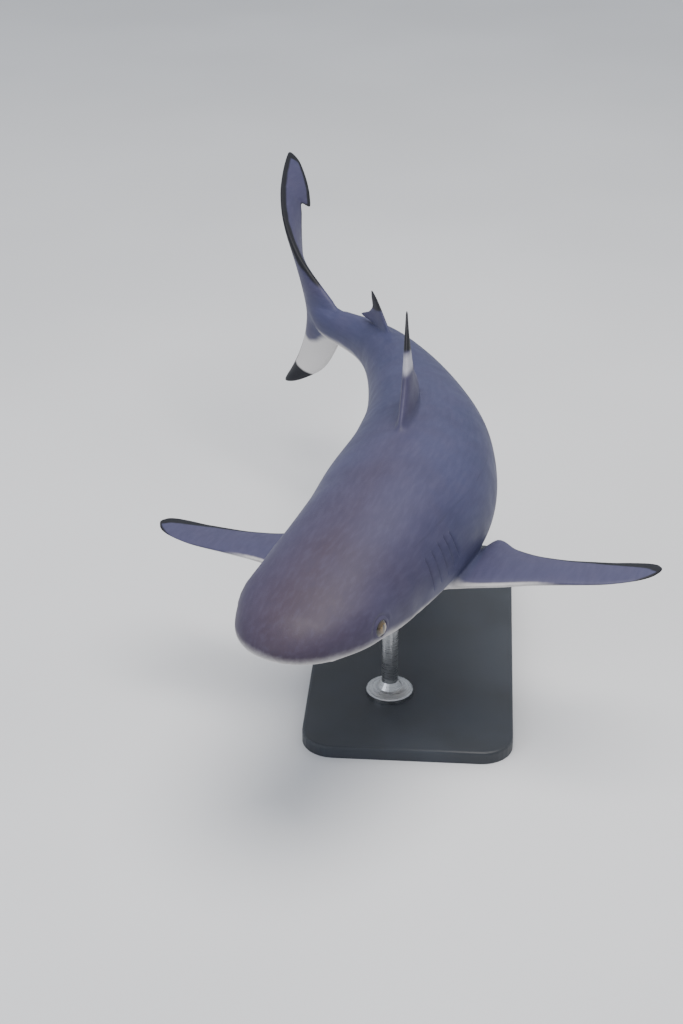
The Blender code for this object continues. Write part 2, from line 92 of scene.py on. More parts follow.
# Fin outlines: height from the root, leading edge, trailing edge
PECTORAL = (
    (-0.030, -0.008, 0.052), (0.000, 0.000, 0.062), (0.018, 0.0027, 0.0962), (0.041, 0.0064, 0.0779),
    (0.0715, 0.0129, 0.0659), (0.102, 0.0165, 0.0621), (0.133, 0.0203, 0.0622), (0.153, 0.0263, 0.0641),
    (0.167, 0.0332, 0.0648), (0.174, 0.0386, 0.0638), (0.1785, 0.0444, 0.0617), (0.1808, 0.0494, 0.0584),
)
PELVIC = (
    (-0.014, -0.008, 0.045), (0.000, 0.000, 0.048), (0.010, 0.004, 0.075), (0.025, 0.012, 0.058),
    (0.040, 0.022, 0.046), (0.048, 0.030, 0.043), (0.050, 0.034, 0.041),
)
FIRST_DORSAL = (
    (-0.024, -0.018, 0.105), (0.000, 0.000, 0.105), (0.0095, 0.011, 0.137), (0.017, 0.019, 0.119),
    (0.032, 0.036, 0.101), (0.050, 0.054, 0.092), (0.068, 0.071, 0.0905), (0.081, 0.086, 0.096),
    (0.087, 0.096, 0.100),
)
SECOND_DORSAL = (
    (-0.012, -0.006, 0.046), (0.000, 0.000, 0.045), (0.006, 0.008, 0.082), (0.014, 0.018, 0.062),
    (0.024, 0.028, 0.052), (0.034, 0.038, 0.053), (0.040, 0.047, 0.052),
)
# The tail fin's ribs, from its upper tip round to its lower one: front end, then back end. The upper ribs are
# measured up the top edge and square to it, the others back and up from the pit.
UPPER_LOBE_RISE = radians(33)
UPPER_LOBE_FOOT = 0.020
UPPER_RIBS = (
    (0.254, 0.000, 0.004), (0.248, -0.001, 0.013), (0.230, -0.0025, 0.027), (0.205, -0.004, 0.0405),
    (0.190, -0.0048, 0.044), (0.1845, -0.005, 0.0305), (0.170, -0.005, 0.033), (0.140, -0.0045, 0.038),
    (0.110, -0.003, 0.045), (0.085, -0.001, 0.056), (0.0640, 0.000, 0.0630),
)
LOWER_RIBS = (
    ((0.030, 0.0395), (0.0850, -0.0020)), ((0.010, 0.0265), (0.0820, -0.0060)),
    ((-0.006, 0.0150), (0.0808, -0.0115)), ((-0.012, 0.0020), (0.0800, -0.0170)),
    ((-0.0105, -0.0090), (0.0788, -0.0250)), ((-0.004, -0.0170), (0.0775, -0.0340)),
    ((0.006, -0.0340), (0.0773, -0.0450)), ((0.022, -0.0580), (0.0775, -0.0600)),
    ((0.044, -0.0780), (0.0790, -0.0780)), ((0.063, -0.0940), (0.0800, -0.0930)),
    ((0.074, -0.1005), (0.0780, -0.1005)),
)

# Paired fins: the place on the spine whose frame they keep, root, droop (1 left, -1 right) and pitch.
# The others: root along, root up and the fall of the root's line
PECTORAL_FRAME = 0.26
PECTORAL_ROOT = (0.2135, 0.067, -0.040)
PECTORAL_DROOP = {1: radians(-1), -1: radians(-6)}
PECTORAL_PITCH = 0.0
PELVIC_FRAME = 0.50
PELVIC_ROOT = (0.485, 0.030, -0.045)
PELVIC_DROOP = radians(35)
PELVIC_PITCH = radians(-7)
FIRST_DORSAL_ROOT = (0.300, 0.0705, 0.045)
SECOND_DORSAL_ROOT = (0.630, 0.0345, 0.135)
ANAL_ROOT = (0.632, 0.0330, 0.135)
FIN_EDGE = 0.0005
# Half thickness of each fin at heights from its root, and of the tail at its ribs by number
PECTORAL_THICKNESS = ((-0.03, 0.0075), (0.03, 0.0060), (0.10, 0.0034), (0.1808, 0.0011))
PELVIC_THICKNESS = ((-0.014, 0.0045), (0.01, 0.0036), (0.05, 0.0009))
FIRST_DORSAL_THICKNESS = ((-0.024, 0.0085), (0.02, 0.0058), (0.06, 0.0030), (0.087, 0.0010))
SECOND_DORSAL_THICKNESS = ((-0.012, 0.0050), (0.015, 0.0028), (0.04, 0.0009))
TAIL_THICKNESS = ((0, 0.0010), (2, 0.0024), (5, 0.0034), (8, 0.0052), (10, 0.0070), (13, 0.0088),
                  (15, 0.0085), (17, 0.0052), (19, 0.0030), (21, 0.0010))

# Eyes, mouth, nostrils and gill slits. The eyes' half sizes, opening and depth are in metres
EYE_ALONG = 0.078
EYE_UP = 0.001
EYE_SIZE = np.array((0.0140, 0.0130, 0.0090))
EYE_SUNK = 0.0060
APERTURE = (0.0108, 0.0088)
MOUTH_FRONT = 0.062
MOUTH_CORNER = 0.105
MOUTH_HALF_WIDTH = 0.043
NOSTRIL = (0.037, 0.031)
GILL_SLITS = (0.168, 0.180, 0.192, 0.203, 0.213)
GILL_LOW = -0.012
GILL_HIGH = 0.022
# The last slit is shorter at each end and each next one sits higher. All lean forward at the top, bow back at
# both ends and are set forward
GILL_LAST_SHORTER = 0.003
GILL_STEP = 0.0006
GILL_LEAN = 0.003
GILL_BOW = 0.0022
GILL_SET = 0.0008
# Lids, mouth, nostrils and gills lie ahead of this
HEAD_END = 0.24

# ---- mesh fineness

RING_POINTS = 144
SNOUT_STEP = 0.00012
STEP_GROWTH = 0.00022
HEAD_STEP = 0.0024
HEAD_RINGS_END = 0.235
TRUNK_STEP = 0.0040
# In metres: cells nearer than these to the eyes, mouth, nostrils or gills are halved, once for each
FINER_WITHIN = (0.013, 0.0055, 0.0022)
FIN_ACROSS = 22
TIP_RINGS = 7
EYE_GRID = (44, 56)
TAIL_ROWS = 130
# The tail's rows lie between these ribs, by number
TAIL_TIPS = (0.8, 20.5)
# In metres: how far the rounding of the fins' joints reaches
FILLET = 0.011
FILLET_ROUNDS = 26
UNBEND_ROUNDS = 40


# ---- curves and the bent body

def smooth_through(xs, ys, x):
    """Monotone cubic through the points (xs, ys): it never overshoots between two of them."""
    xs = np.asarray(xs, float)
    ys = np.asarray(ys, float)
    x = np.clip(np.asarray(x, float), xs[0], xs[-1])
    step = np.diff(xs)
    rise = np.diff(ys) / step
    slope = np.zeros_like(ys)
    slope[0] = rise[0]
    slope[-1] = rise[-1]
    before = 2 * step[1:] + step[:-1]
    after = step[1:] + 2 * step[:-1]
    level = rise[:-1] * rise[1:] <= 0
    low = np.where(level, 1.0, rise[:-1])
    high = np.where(level, 1.0, rise[1:])
    slope[1:-1] = np.where(level, 0.0, (before + after) / (before / low + after / high))
    i = np.clip(np.searchsorted(xs, x) - 1, 0, len(step) - 1)
    t = (x - xs[i]) / step[i]
    return ((1 + 2 * t) * (1 - t) ** 2 * ys[i] + t * (1 - t) ** 2 * step[i] * slope[i]
            + t * t * (3 - 2 * t) * ys[i + 1] + t * t * (t - 1) * step[i] * slope[i + 1])


def ease(x):
    """0 below 0 and 1 above 1, with a smooth cubic between."""
    x = np.clip(x, 0, 1)
    return x * x * (3 - 2 * x)


def hump(x, width):
    """A bell, exp of minus (x over width) squared."""
    return np.exp(-(x / width) ** 2)


SPINE_STEPS = np.linspace(-0.02, 1.08, 1101)


def heading(along):
    """Heading of the spine, in radians from +Y towards +X."""
    return np.radians(smooth_through(SPINE_ALONG, SPINE_HEADING, along))


def spine_line():
    """World X and Y of the spine at SPINE_STEPS, in shares of the length, with its anchor at the origin: the
    running sums of its direction's sine and cosine."""
    turn = heading(SPINE_STEPS)
    step = SPINE_STEPS[1] - SPINE_STEPS[0]
    for part in (np.sin(turn), np.cos(turn)):
        run = np.concatenate(([0.0], np.cumsum(part[1:] + part[:-1]) * step / 2))
        yield run - np.interp(SPINE_ANCHOR, SPINE_STEPS, run)


SPINE_X, SPINE_Y = spine_line()


def spine_at(share):
    """World X and Y of the spine, and the two parts of its direction, at shares of the length."""
    turn = heading(share)
    return (np.interp(share, SPINE_STEPS, SPINE_X) * LENGTH, np.interp(share, SPINE_STEPS, SPINE_Y) * LENGTH,
            np.sin(turn), np.cos(turn))


def cupped(points):
    """Curls the tail fin to the right: heights run round an arc whose turn is k times the height.

    left becomes left cos(turn) - (1 - cos(turn)) / k, and up becomes sin(turn) / k + left sin(turn).
    """
    along, left, up = np.moveaxis(points, -1, 0)
    k = TAIL_CUP / LENGTH * ease((along / LENGTH - CUP_START) / (CUP_FULL - CUP_START))
    turn = k * up
    lag = k * up * up / 2 * np.sinc(turn / (2 * pi)) ** 2
    lift = up * np.sinc(turn / pi) + left * np.sin(turn)
    return np.stack((along, left * np.cos(turn) - lag, lift), -1)


def rolled(points, at, way=1):
    """Turns points about the body's axis by the roll at that share of the length, or back where way is -1."""
    roll = way * np.radians(smooth_through(ROLL_ALONG, ROLL, at))
    along, left, up = np.moveaxis(points, -1, 0)
    aside = left * np.cos(roll) - up * np.sin(roll)
    return np.stack((along, aside, up * np.cos(roll) + left * np.sin(roll)), -1)


def bend(points, frame_at=None):
    """Carries straight points into the world: a place on the spine, plus left and up square to it.

    With frame_at the piece stays rigid, as it lies at that share of the length.
    """
    points = cupped(points)
    at = points[..., 0] / LENGTH if frame_at is None else np.full(points.shape[:-1], frame_at)
    points = rolled(points, at)
    x, y, east, north = spine_at(at)
    back = points[..., 0] - at * LENGTH
    return np.stack((x + points[..., 1] * north + back * east,
                     y - points[..., 1] * east + back * north, points[..., 2] + AXIS_HEIGHT), -1)


def unbend(world):
    """Inverse of bend: each point's place slides along the spine, by 0.7 of what is left at a time, until the
    point lies square to it."""
    at = np.interp(world[..., 1] / LENGTH, SPINE_Y, SPINE_STEPS)
    for _ in range(UNBEND_ROUNDS):
        x, y, east, north = spine_at(at)
        at = at + 0.7 * ((world[..., 0] - x) * east + (world[..., 1] - y) * north) / LENGTH
    x, y, east, north = spine_at(at)
    left = (world[..., 0] - x) * north - (world[..., 1] - y) * east
    return rolled(np.stack((at * LENGTH, left, world[..., 2] - AXIS_HEIGHT), -1), at, -1)


def section(along, angle):
    """A point of the smooth straight body: a superellipse whose upper and lower halves differ, in metres."""
    along = np.asarray(along, float)
    angle = np.asarray(angle, float)
    width, top, bottom, level, round_up, round_down = (
        smooth_through(STATIONS[:, 0], STATIONS[:, k], along) for k in range(1, 7))
    from_snout = np.clip(along / SNOUT_WIDTH_ROUNDING, 0, 1)
    width = width * (1 - (1 - from_snout) ** SNOUT_BLUNTNESS) ** (1 / SNOUT_BLUNTNESS)
    from_end = np.clip((along - PIT) / (STALK_CLOSE - PIT), 0, 1)
    width = width * np.sqrt(1 - from_end ** 2)
    height = np.sqrt(1 - (1 - np.clip(along / SNOUT_HEIGHT_ROUNDING, 0, 1)) ** 2)
    across = np.cos(angle)
    up = np.sin(angle)
    power = np.where(up > 0, 2 / round_up, 2 / round_down)
    reach = np.where(up > 0, top - level, bottom + level) * height
    left = width * np.sign(across) * np.abs(across) ** power
    return LENGTH * np.stack(
        (along + 0 * angle, left, level * height + reach * np.sign(up) * np.abs(up) ** power), -1)


def unit(vectors):
    return vectors / np.maximum(np.linalg.norm(vectors, axis=-1, keepdims=True), 1e-12)


def outward(along, angle):
    """Unit normal of the smooth body, from small steps lengthways and round about."""
    small = 1e-4
    lengthways = section(along + small, angle) - section(np.maximum(along - small, 0), angle)
    round_about = section(along, angle + small) - section(along, angle - small)
    return unit(np.cross(round_about, lengthways))


# ---- relief of the head: lids, mouth, nostrils, gills

def eye_axes():
    """The left eye's place on the skin, and its forward, upward and outward directions."""
    angles = np.linspace(0, pi / 2, 400)
    angle = np.interp(EYE_UP * LENGTH, section(EYE_ALONG, angles)[:, 2], angles)
    normal = outward(np.array(EYE_ALONG), np.array(angle))
    forward = unit(np.array((1.0, 0.0, 0.0)) - normal[0] * normal)
    return section(EYE_ALONG, angle), forward, np.cross(forward, normal), normal


EYE_SKIN, EYE_FORWARD, EYE_UPWARD, EYE_NORMAL = eye_axes()


def eye_plane(points):
    """Distances from the eye's middle, along and up in its own plane, for both sides at once."""
    near = points * np.array((1.0, 0.0, 1.0)) + np.abs(points) * np.array((0.0, 1.0, 0.0)) - EYE_SKIN
    return near @ EYE_FORWARD, near @ EYE_UPWARD, near @ EYE_NORMAL


def lids(points):
    """Skin round the eye: it dives inside the opening, stands 1 mm proud of the ball in a thin rim and eases
    back to the head, with a shallow fold round it and a brow. Returns the height and how far inside a point
    lies."""
    along, up, _ = eye_plane(points)
    reach = np.hypot(along / APERTURE[0], up / APERTURE[1])
    inside = ease((1.04 - reach) / 0.30)
    at_edge = np.minimum(1, 1.0 / np.maximum(reach, 0.3))
    wide, tall, deep = EYE_SIZE
    ball = deep * np.sqrt(1 - (along * at_edge / wide) ** 2 - (up * at_edge / tall) ** 2)
    rim = (ball - EYE_SUNK + 1.0 * MM * ease((reach - 0.96) / 0.14)) * (1 - ease((reach - 1.10) / 0.55))
    fold = -0.5 * MM * hump(reach - 1.55, 0.12) * (0.35 + 0.65 * ease(up / 0.008 + 0.5))
    brow = 0.8 * MM * hump(reach - 1.95, 0.28) * ease(up / 0.01 + 0.3)
    near = hump(np.maximum(np.hypot(along, up) - 0.022, 0), 0.006)
    return (rim + fold + brow - 5 * MM * inside) * near, inside * near


def mouth_gap(points):
    """Distance behind the mouth's line, from below an arch |side|^2.3, and how far it is open there."""
    side = np.abs(points[:, 1]) / LENGTH / MOUTH_HALF_WIDTH
    deep = MOUTH_CORNER - MOUTH_FRONT
    line = (MOUTH_FRONT + deep * side ** 2.3) * LENGTH
    slope = 2.3 * deep * side ** 1.3 / MOUTH_HALF_WIDTH
    return (points[:, 0] - line) / np.sqrt(1 + slope ** 2), 1 - ease((side - 0.93) / 0.10)


def mouth(points, under):
    """A slit 5 mm deep, widest in front, with a rolled lip each side and the jaw set in by 3 mm: bells across
    the line. Returns the height of it all, and of the slit and the furrows alone."""
    gap, open_here = mouth_gap(points)
    side = np.abs(points[:, 1]) / LENGTH
    thin = 1 - 0.55 * ease(side / MOUTH_HALF_WIDTH)
    slit = -5.2 * MM * np.where(gap < 0, hump(gap, 0.9 * MM), hump(gap, 2.3 * MM * thin))
    lip = 1.7 * MM * hump(gap + 3.6 * MM, 2.5 * MM) - 0.7 * MM * hump(gap + 9.0 * MM, 2.6 * MM)
    lower_lip = (1.5 * MM * hump(gap - 5.4 * MM, 2.1 * MM) * thin
                 - 0.6 * MM * hump(gap - 10.0 * MM, 2.6 * MM))
    jaw = -3.0 * MM * ease(gap / (1.5 * MM)) * hump(np.maximum(gap, 0), 20 * MM)
    chin = 1.8 * MM * hump(gap - 27 * MM, 12 * MM)
    # short furrows run forwards and outwards from the corners
    run = points[:, 0] / LENGTH - MOUTH_CORNER
    off_furrow = side - MOUTH_HALF_WIDTH - 0.0012 + run * 0.35
    furrow = -1.8 * MM * hump(off_furrow, 0.0012) * hump(run + 0.003, 0.0055)
    cut = (slit * open_here + furrow) * under
    return cut + (lip + lower_lip + jaw + chin) * open_here * under, cut


def nostrils(points, under):
    """Slanting crescent pits 20 mm long under the snout, each half covered by a lobe from its front edge."""
    along = points[:, 0] - NOSTRIL[0] * LENGTH
    side = np.abs(points[:, 1]) - NOSTRIL[1] * LENGTH
    slant = radians(24)
    outwards = side * cos(slant) - along * sin(slant)
    back = along * cos(slant) + side * sin(slant) + 9.0 * (outwards - 1 * MM) ** 2
    pit = -6.0 * MM * np.exp(-(outwards / (9.5 * MM)) ** 4) * hump(back - 0.8 * MM, 3.3 * MM)
    narrows = 4.2 * MM - 0.50 * (back + 3.0 * MM)
    lobe = (ease((narrows - np.abs(outwards + 1.6 * MM)) / (2.8 * MM) + 0.4)
            * ease((2.6 * MM - back) / (2.4 * MM)))
    rim = 1.1 * MM * hump(np.hypot(outwards * 0.42, back) - 5.2 * MM, 1.8 * MM)
    return (pit * (1 - lobe) + 0.7 * MM * lobe * hump(back, 5 * MM) + rim) * under


def gill_lines(points):
    """For each slit: distance behind its line, and height from its middle over its half height."""
    up = points[:, 2] / LENGTH
    for number, place in enumerate(GILL_SLITS):
        half = (GILL_HIGH - GILL_LOW) / 2 - (GILL_LAST_SHORTER if place == GILL_SLITS[-1] else 0.0)
        rise = (up - (GILL_LOW + GILL_HIGH) / 2 - GILL_STEP * number) / half
        line = place - GILL_LEAN * rise + GILL_BOW * rise ** 2 - GILL_SET
        yield points[:, 0] - line * LENGTH, rise


def gills(points):
    """Five slits a side: the skin swells to a slit's front edge, drops 4 mm and comes back up behind it."""
    total = np.zeros(len(points))
    for back, rise in gill_lines(points):
        swell = 1.3 * MM * np.where(back < 0, np.exp(np.minimum(back, 0) / (6 * MM)), hump(back, 0.6 * MM))
        climb = np.exp(-np.maximum(back - 1.2 * MM, 0) / (2.6 * MM))
        drop = -4.4 * MM * ease(back / (1.3 * MM)) * climb
        total += (swell + drop) * (1 - ease((np.abs(rise) - 0.50) / 0.60))
    return total


# Bells on the head's sides: height in mm, place and width along, place and width up, least place sideways.
# They are the brow over the eye, the hollow before it and the cheek muscle behind the mouth
HEAD_SWELLS = ((1.8, 0.078, 0.020, 0.019, 0.008, 0.02), (-1.2, 0.045, 0.014, 0.006, 0.008, 0.02),
               (1.6, 0.128, 0.016, -0.004, 0.016, 0.03))
# Folds across the throat, which run back at the sides: height in mm, place along
THROAT_FOLDS = ((-0.8, 0.140), (-0.6, 0.158))
# Pits above and below the root of the tail: height in mm, distance behind PIT, 1 above or -1 below
TAIL_PITS = ((-3.2, 0.001, 1), (-2.2, -0.004, -1))
VENT = 0.522


def relief(along, angle):
    """Points of the finished straight body, and how deep the skin lies in a fold there (0 to 1), for painted
    shade.
    """
    points = section(along, angle)
    normal = outward(along, angle)
    under = ease(-normal[:, 2] * 1.6)
    height = np.zeros(len(points))
    head = along < HEAD_END
    fold_shade = np.zeros(len(points))
    lips, cut = mouth(points[head], under[head])
    pits = nostrils(points[head], under[head]) + gills(points[head])
    lid, socket = lids(points[head])
    height[head] = lips + pits + lid
    # how deep a point lies in a slit, pit or eye opening: the skin is darkened there as painted shade
    fold_shade[head] = np.maximum(np.clip(-(cut + pits) / (3.5 * MM), 0, 1), socket)
    side = np.abs(points[:, 1]) / LENGTH
    up = points[:, 2] / LENGTH
    for size, at, wide, level, high, clear in HEAD_SWELLS:
        height += size * MM * hump(along - at, wide) * hump(up - level, high) * (side > clear)
    for size, at in THROAT_FOLDS:
        height += size * MM * hump(along - at - 3.0 * side ** 2, 0.0035) * under
    for size, behind, way in TAIL_PITS:
        height += size * MM * hump(along - PIT - behind, 0.0032) * ease((way * normal[:, 2] - 0.55) / 0.4)
    height -= 2.2 * MM * hump(along - VENT, 0.0065) * hump(side, 0.0010) * under
    return points + normal * height[:, None], fold_shade


# ---- meshes from arrays

def read(items, name, width, kind=np.float32):
    """One value, or a few, of every item of a mesh as an array."""
    values = np.empty(len(items) * width, kind)
    items.foreach_get(name, values)
    return values.reshape(-1, width) if width > 1 else values


def mesh_of(name, points, faces):
    mesh = bpy.data.meshes.new(name)
    mesh.from_pydata(np.asarray(points, float).reshape(-1, 3), [], faces)
    mesh.validate()
    return mesh


def grid_faces(rows, columns, closed=False, start=0):
    """Quads between rows of points, and from the last column round to the first if closed."""
    across = columns if closed else columns - 1
    row, column = np.meshgrid(np.arange(rows - 1), np.arange(across), indexing="ij")
    after = (column + 1) % columns
    corners = (row * columns + column, row * columns + after, (row + 1) * columns + after,
               (row + 1) * columns + column)
    return (start + np.stack(corners, -1).reshape(-1, 4)).tolist()


def tube_faces(rows, columns, start=0):
    """Quads round a tube of rings, and a lid on its first and last ring."""
    last = start + (rows - 1) * columns
    return grid_faces(rows, columns, True, start) + [list(range(at, at + columns)) for at in (start, last)]


def keep(mesh, name, kind, domain, values):
    """Keeps one value, or three, of every point, corner or face of a mesh under a name."""
    values = np.asarray(values, np.int32 if kind == "INT" else np.float32).ravel()
    slot = "vector" if kind == "FLOAT_VECTOR" else "value"
    mesh.attributes.new(name, kind, domain).data.foreach_set(slot, values)


def keep_on_corners(mesh, values):
    """Three values a point, kept on the corners of the faces, which a union of two meshes carries over."""
    keep(mesh, "marks", "FLOAT_VECTOR", "CORNER", values[read(mesh.loops, "vertex_index", 1, np.int32)])


@contextmanager
def edited(mesh):
    """Opens a mesh for editing as points, edges and faces, and writes it back."""
    shape = bmesh.new()
    shape.from_mesh(mesh)
    yield shape
    shape.to_mesh(mesh)
    shape.free()


def add_piece(name, mesh, material=None):
    obj = bpy.data.objects.new(name, mesh)
    bpy.context.scene.collection.objects.link(obj)
    if material is not None:
        mesh.materials.append(material)
    return obj


def face_out(mesh):
    """Turns every face outwards."""
    with edited(mesh) as shape:
        shape.normal_update()
        bmesh.ops.recalc_face_normals(shape, faces=shape.faces)
    mesh.update()


# ---- body

def ring_places():
    """Rings crowd towards the snout, where steps grow evenly, and are fine as far as the last gill."""
    steps = [SNOUT_STEP]
    while steps[-1] < HEAD_STEP:
        steps.append(steps[-1] + STEP_GROWTH)
    front = np.cumsum(steps)
    head = np.arange(front[-1] + HEAD_STEP, HEAD_RINGS_END, HEAD_STEP)
    trunk = np.linspace(head[-1] + TRUNK_STEP, PIT - 0.012, int((PIT - 0.25) / TRUNK_STEP))
    # close together over the pits at the root of the tail, then crowding towards the last ring
    stalk = np.linspace(PIT - 0.0105, PIT + 0.012, 15)
    close = PIT + 0.014 + (STALK_END - PIT - 0.014) * np.sin(np.linspace(0, pi / 2, 9))
    return np.concatenate((front, head, trunk, stalk, close))


def near_features(along, angle, reach):
    """Which cells lie within reach, in metres, of an eye, the mouth, a nostril or a gill slit."""
    points = section(along, angle)
    normal = outward(along, angle)
    ahead, up, _ = eye_plane(points)
    # the lids' rim is a ring just outside the opening, about 10 mm from the eye's middle
    ring = np.abs(np.hypot(ahead / APERTURE[0], up / APERTURE[1]) - 1.02) * 0.010
    eye = (ring < 0.8 * reach) & (normal[:, 1] * points[:, 1] > 0)
    gap, open_here = mouth_gap(points)
    under = normal[:, 2] < -0.1
    lips = (np.abs(gap) < reach) & (open_here > 0) & under
    side = np.abs(points[:, 1])
    off_nose = np.hypot(points[:, 0] - NOSTRIL[0] * LENGTH, side - NOSTRIL[1] * LENGTH)
    nose = (off_nose < 0.011 + reach) & under
    gill = np.zeros(len(points), bool)
    for back, rise in gill_lines(points):
        gill |= (np.abs(back - 0.4 * reach) < 0.75 * reach) & (np.abs(rise) < 1.2) & (side > 0.05)
    return eye | lips | nose | gill


def cut_finer(mesh, reach):
    """Halves the cells of the flat sheet that lie near the head's features."""
    middles = read(mesh.polygons, "center", 3)
    picked = near_features(middles[:, 0].astype(float), middles[:, 1].astype(float), reach)
    mesh.polygons.foreach_set("select", picked)
    with edited(mesh) as shape:
        edges = list(dict.fromkeys(edge for face in shape.faces if face.select for edge in face.edges))
        bmesh.ops.subdivide_edges(shape, edges=edges, cuts=1, use_grid_fill=True)


def make_body():
    """The body as one closed surface: a flat sheet of (along, angle) cells, cut finer where there is detail,
    lifted onto the relief, sewn along the back and shut at the snout and in the tail."""
    places = ring_places()
    angles = pi / 2 + np.linspace(0, 2 * pi, RING_POINTS + 1)
    flat = np.stack(np.meshgrid(places, angles, indexing="ij"), -1)
    flat = np.concatenate((flat, np.zeros(flat.shape[:2] + (1,))), -1)
    mesh = mesh_of("shark_body", flat, grid_faces(len(places), RING_POINTS + 1))
    for reach in FINER_WITHIN:
        cut_finer(mesh, reach)
    sheet = read(mesh.vertices, "co", 3).astype(float)
    points, fold_shade = relief(sheet[:, 0], sheet[:, 1])
    mesh.vertices.foreach_set("co", points.ravel())
    keep_on_corners(mesh, np.stack((fold_shade, 0 * fold_shade, 0 * fold_shade), -1))
    mesh.attributes.new("part", "INT", "FACE")
    with edited(mesh) as shape:
        bmesh.ops.remove_doubles(shape, verts=shape.verts, dist=1e-6)
        shape.edges.ensure_lookup_table()
        for ring_at, tip in ((0.0, (0.0, 0.0, 0.0)), (STALK_END * LENGTH, None)):
            ring = [e for e in shape.edges if e.is_boundary and abs(e.verts[0].co.x - ring_at) < 0.01]
            middle = shape.verts.new(tip or sum((e.verts[0].co for e in ring), Vector()) / len(ring))
            for edge in ring:
                shape.faces.new((*edge.verts, middle))
    face_out(mesh)
    return mesh


# ---- fins

def fin_edges(outline, rows):
    """Heights of a fin's rings, its front and back edges there, and how far the tip has shut them (1 to 0).

    The rings are even up to the outline's last row. Beyond it is a round tip, a parabola that goes on from
    that row's slopes: half chord is c root(1 - x).
    """
    table = np.array(outline)
    rise = table[-1, 0] - table[-2, 0]
    half = (table[-2:, 2] - table[-2:, 1]) / 2
    tip = half[1] * rise / (2 * (half[0] - half[1]))
    drift = (table[-1, 1:].mean() - table[-2, 1:].mean()) / rise
    turn = np.linspace(0, pi / 2, TIP_RINGS + 1)[1:]
    even = np.linspace(table[0, 0], table[-1, 0], rows)
    heights = np.concatenate((even, table[-1, 0] + tip * np.sin(turn) ** 2))
    lead, trail = (smooth_through(table[:, 0], table[:, k], heights) for k in (1, 2))
    shut = np.concatenate((np.ones(rows), np.maximum(np.cos(turn), 0.004)))
    middle = (lead + trail) / 2 + drift * np.maximum(heights - table[-1, 0], 0)
    return heights, middle + (lead - trail) / 2 * shut, middle + (trail - lead) / 2 * shut, shut


def chord_shares():
    """Shares of the chord round a fin's section, close together at both edges, and which side each is on."""
    over = (1 - np.cos(np.linspace(0, pi, FIN_ACROSS + 1))) / 2
    side = np.repeat((1.0, -1.0), (FIN_ACROSS + 1, FIN_ACROSS - 1))
    return np.concatenate((over, over[-2:0:-1])), side


def fin_section(half, shut):
    """Thickness round each ring of a fin from its half thickness there: fullness is 2.6 root u (1 - u), so
    rounded in front, fullest a third back and thin behind, and both edges are rounded. One side is minus."""
    share, side = chord_shares()
    lens = 2.6 * np.sqrt(share) * (1 - share)
    full = FIN_EDGE * np.sqrt(lens + 1e-3) + np.maximum(half - FIN_EDGE, 0)[:, None] * lens
    return side * (shut[:, None] * full)


def fin_grid(outline, thickness, rows):
    """Every point of a fin, ring by ring: chord place, height and thickness, in metres, and its marks."""
    heights, lead, trail, shut = fin_edges(outline, rows)
    full = fin_section(smooth_through(*zip(*thickness), heights), shut)
    chord = lead[:, None] + (trail - lead)[:, None] * chord_shares()[0]
    height = heights[:, None] + 0 * chord
    return LENGTH * np.stack((chord, height, full), -1), fin_marks(height, full)


def fin_marks(height, thickness):
    """What the colours need at every point of a fin: height or rib number, chord share, thickness."""
    return np.stack((height, chord_shares()[0] + 0 * height, LENGTH * thickness), -1)


def paired_axes(side, droop, pitch):
    """Chord, span and thickness directions of a side fin; the last points to its upper face."""
    chord = np.array((cos(pitch), 0.0, -sin(pitch)))
    span = np.array((0.0, side * cos(droop), -sin(droop)))
    return chord, span, np.cross(chord, span) * side


def paired_fin(outline, thickness, root, side, droop, pitch, frame_at, rows):
    """A side fin: rigid at its own place on the spine, then read back into straight coordinates."""
    chord, span, thick = paired_axes(side, droop, pitch)
    grid, marks = fin_grid(outline, thickness, rows)
    start = LENGTH * np.array(root) * (1, side, 1)
    rigid = start + grid[..., :1] * chord + grid[..., 1:2] * span + grid[..., 2:] * thick
    return unbend(bend(rigid, frame_at)), marks


def median_fin(outline, thickness, root, direction, rows):
    """A fin in the middle plane, on a root line that falls towards the tail."""
    grid, marks = fin_grid(outline, thickness, rows)
    along, up, fall = root
    height = direction * (up * LENGTH + grid[..., 1] - fall * grid[..., 0])
    return np.stack((along * LENGTH + grid[..., 0], grid[..., 2], height), -1), marks


def tail_ribs():
    """Front and back ends of the tail fin's ribs, back and up from the pit, in shares of the length."""
    rise = np.array((cos(UPPER_LOBE_RISE), sin(UPPER_LOBE_RISE)))
    square = np.array((sin(UPPER_LOBE_RISE), -cos(UPPER_LOBE_RISE)))
    upper = np.array(UPPER_RIBS)
    foot = np.array((0.0, UPPER_LOBE_FOOT)) + upper[:, :1] * rise
    lower = np.array(LOWER_RIBS)
    front = np.concatenate((foot + upper[:, 1:2] * square, lower[:, 0]))
    back = np.concatenate((foot + upper[:, 2:3] * square, lower[:, 1]))
    return front, back


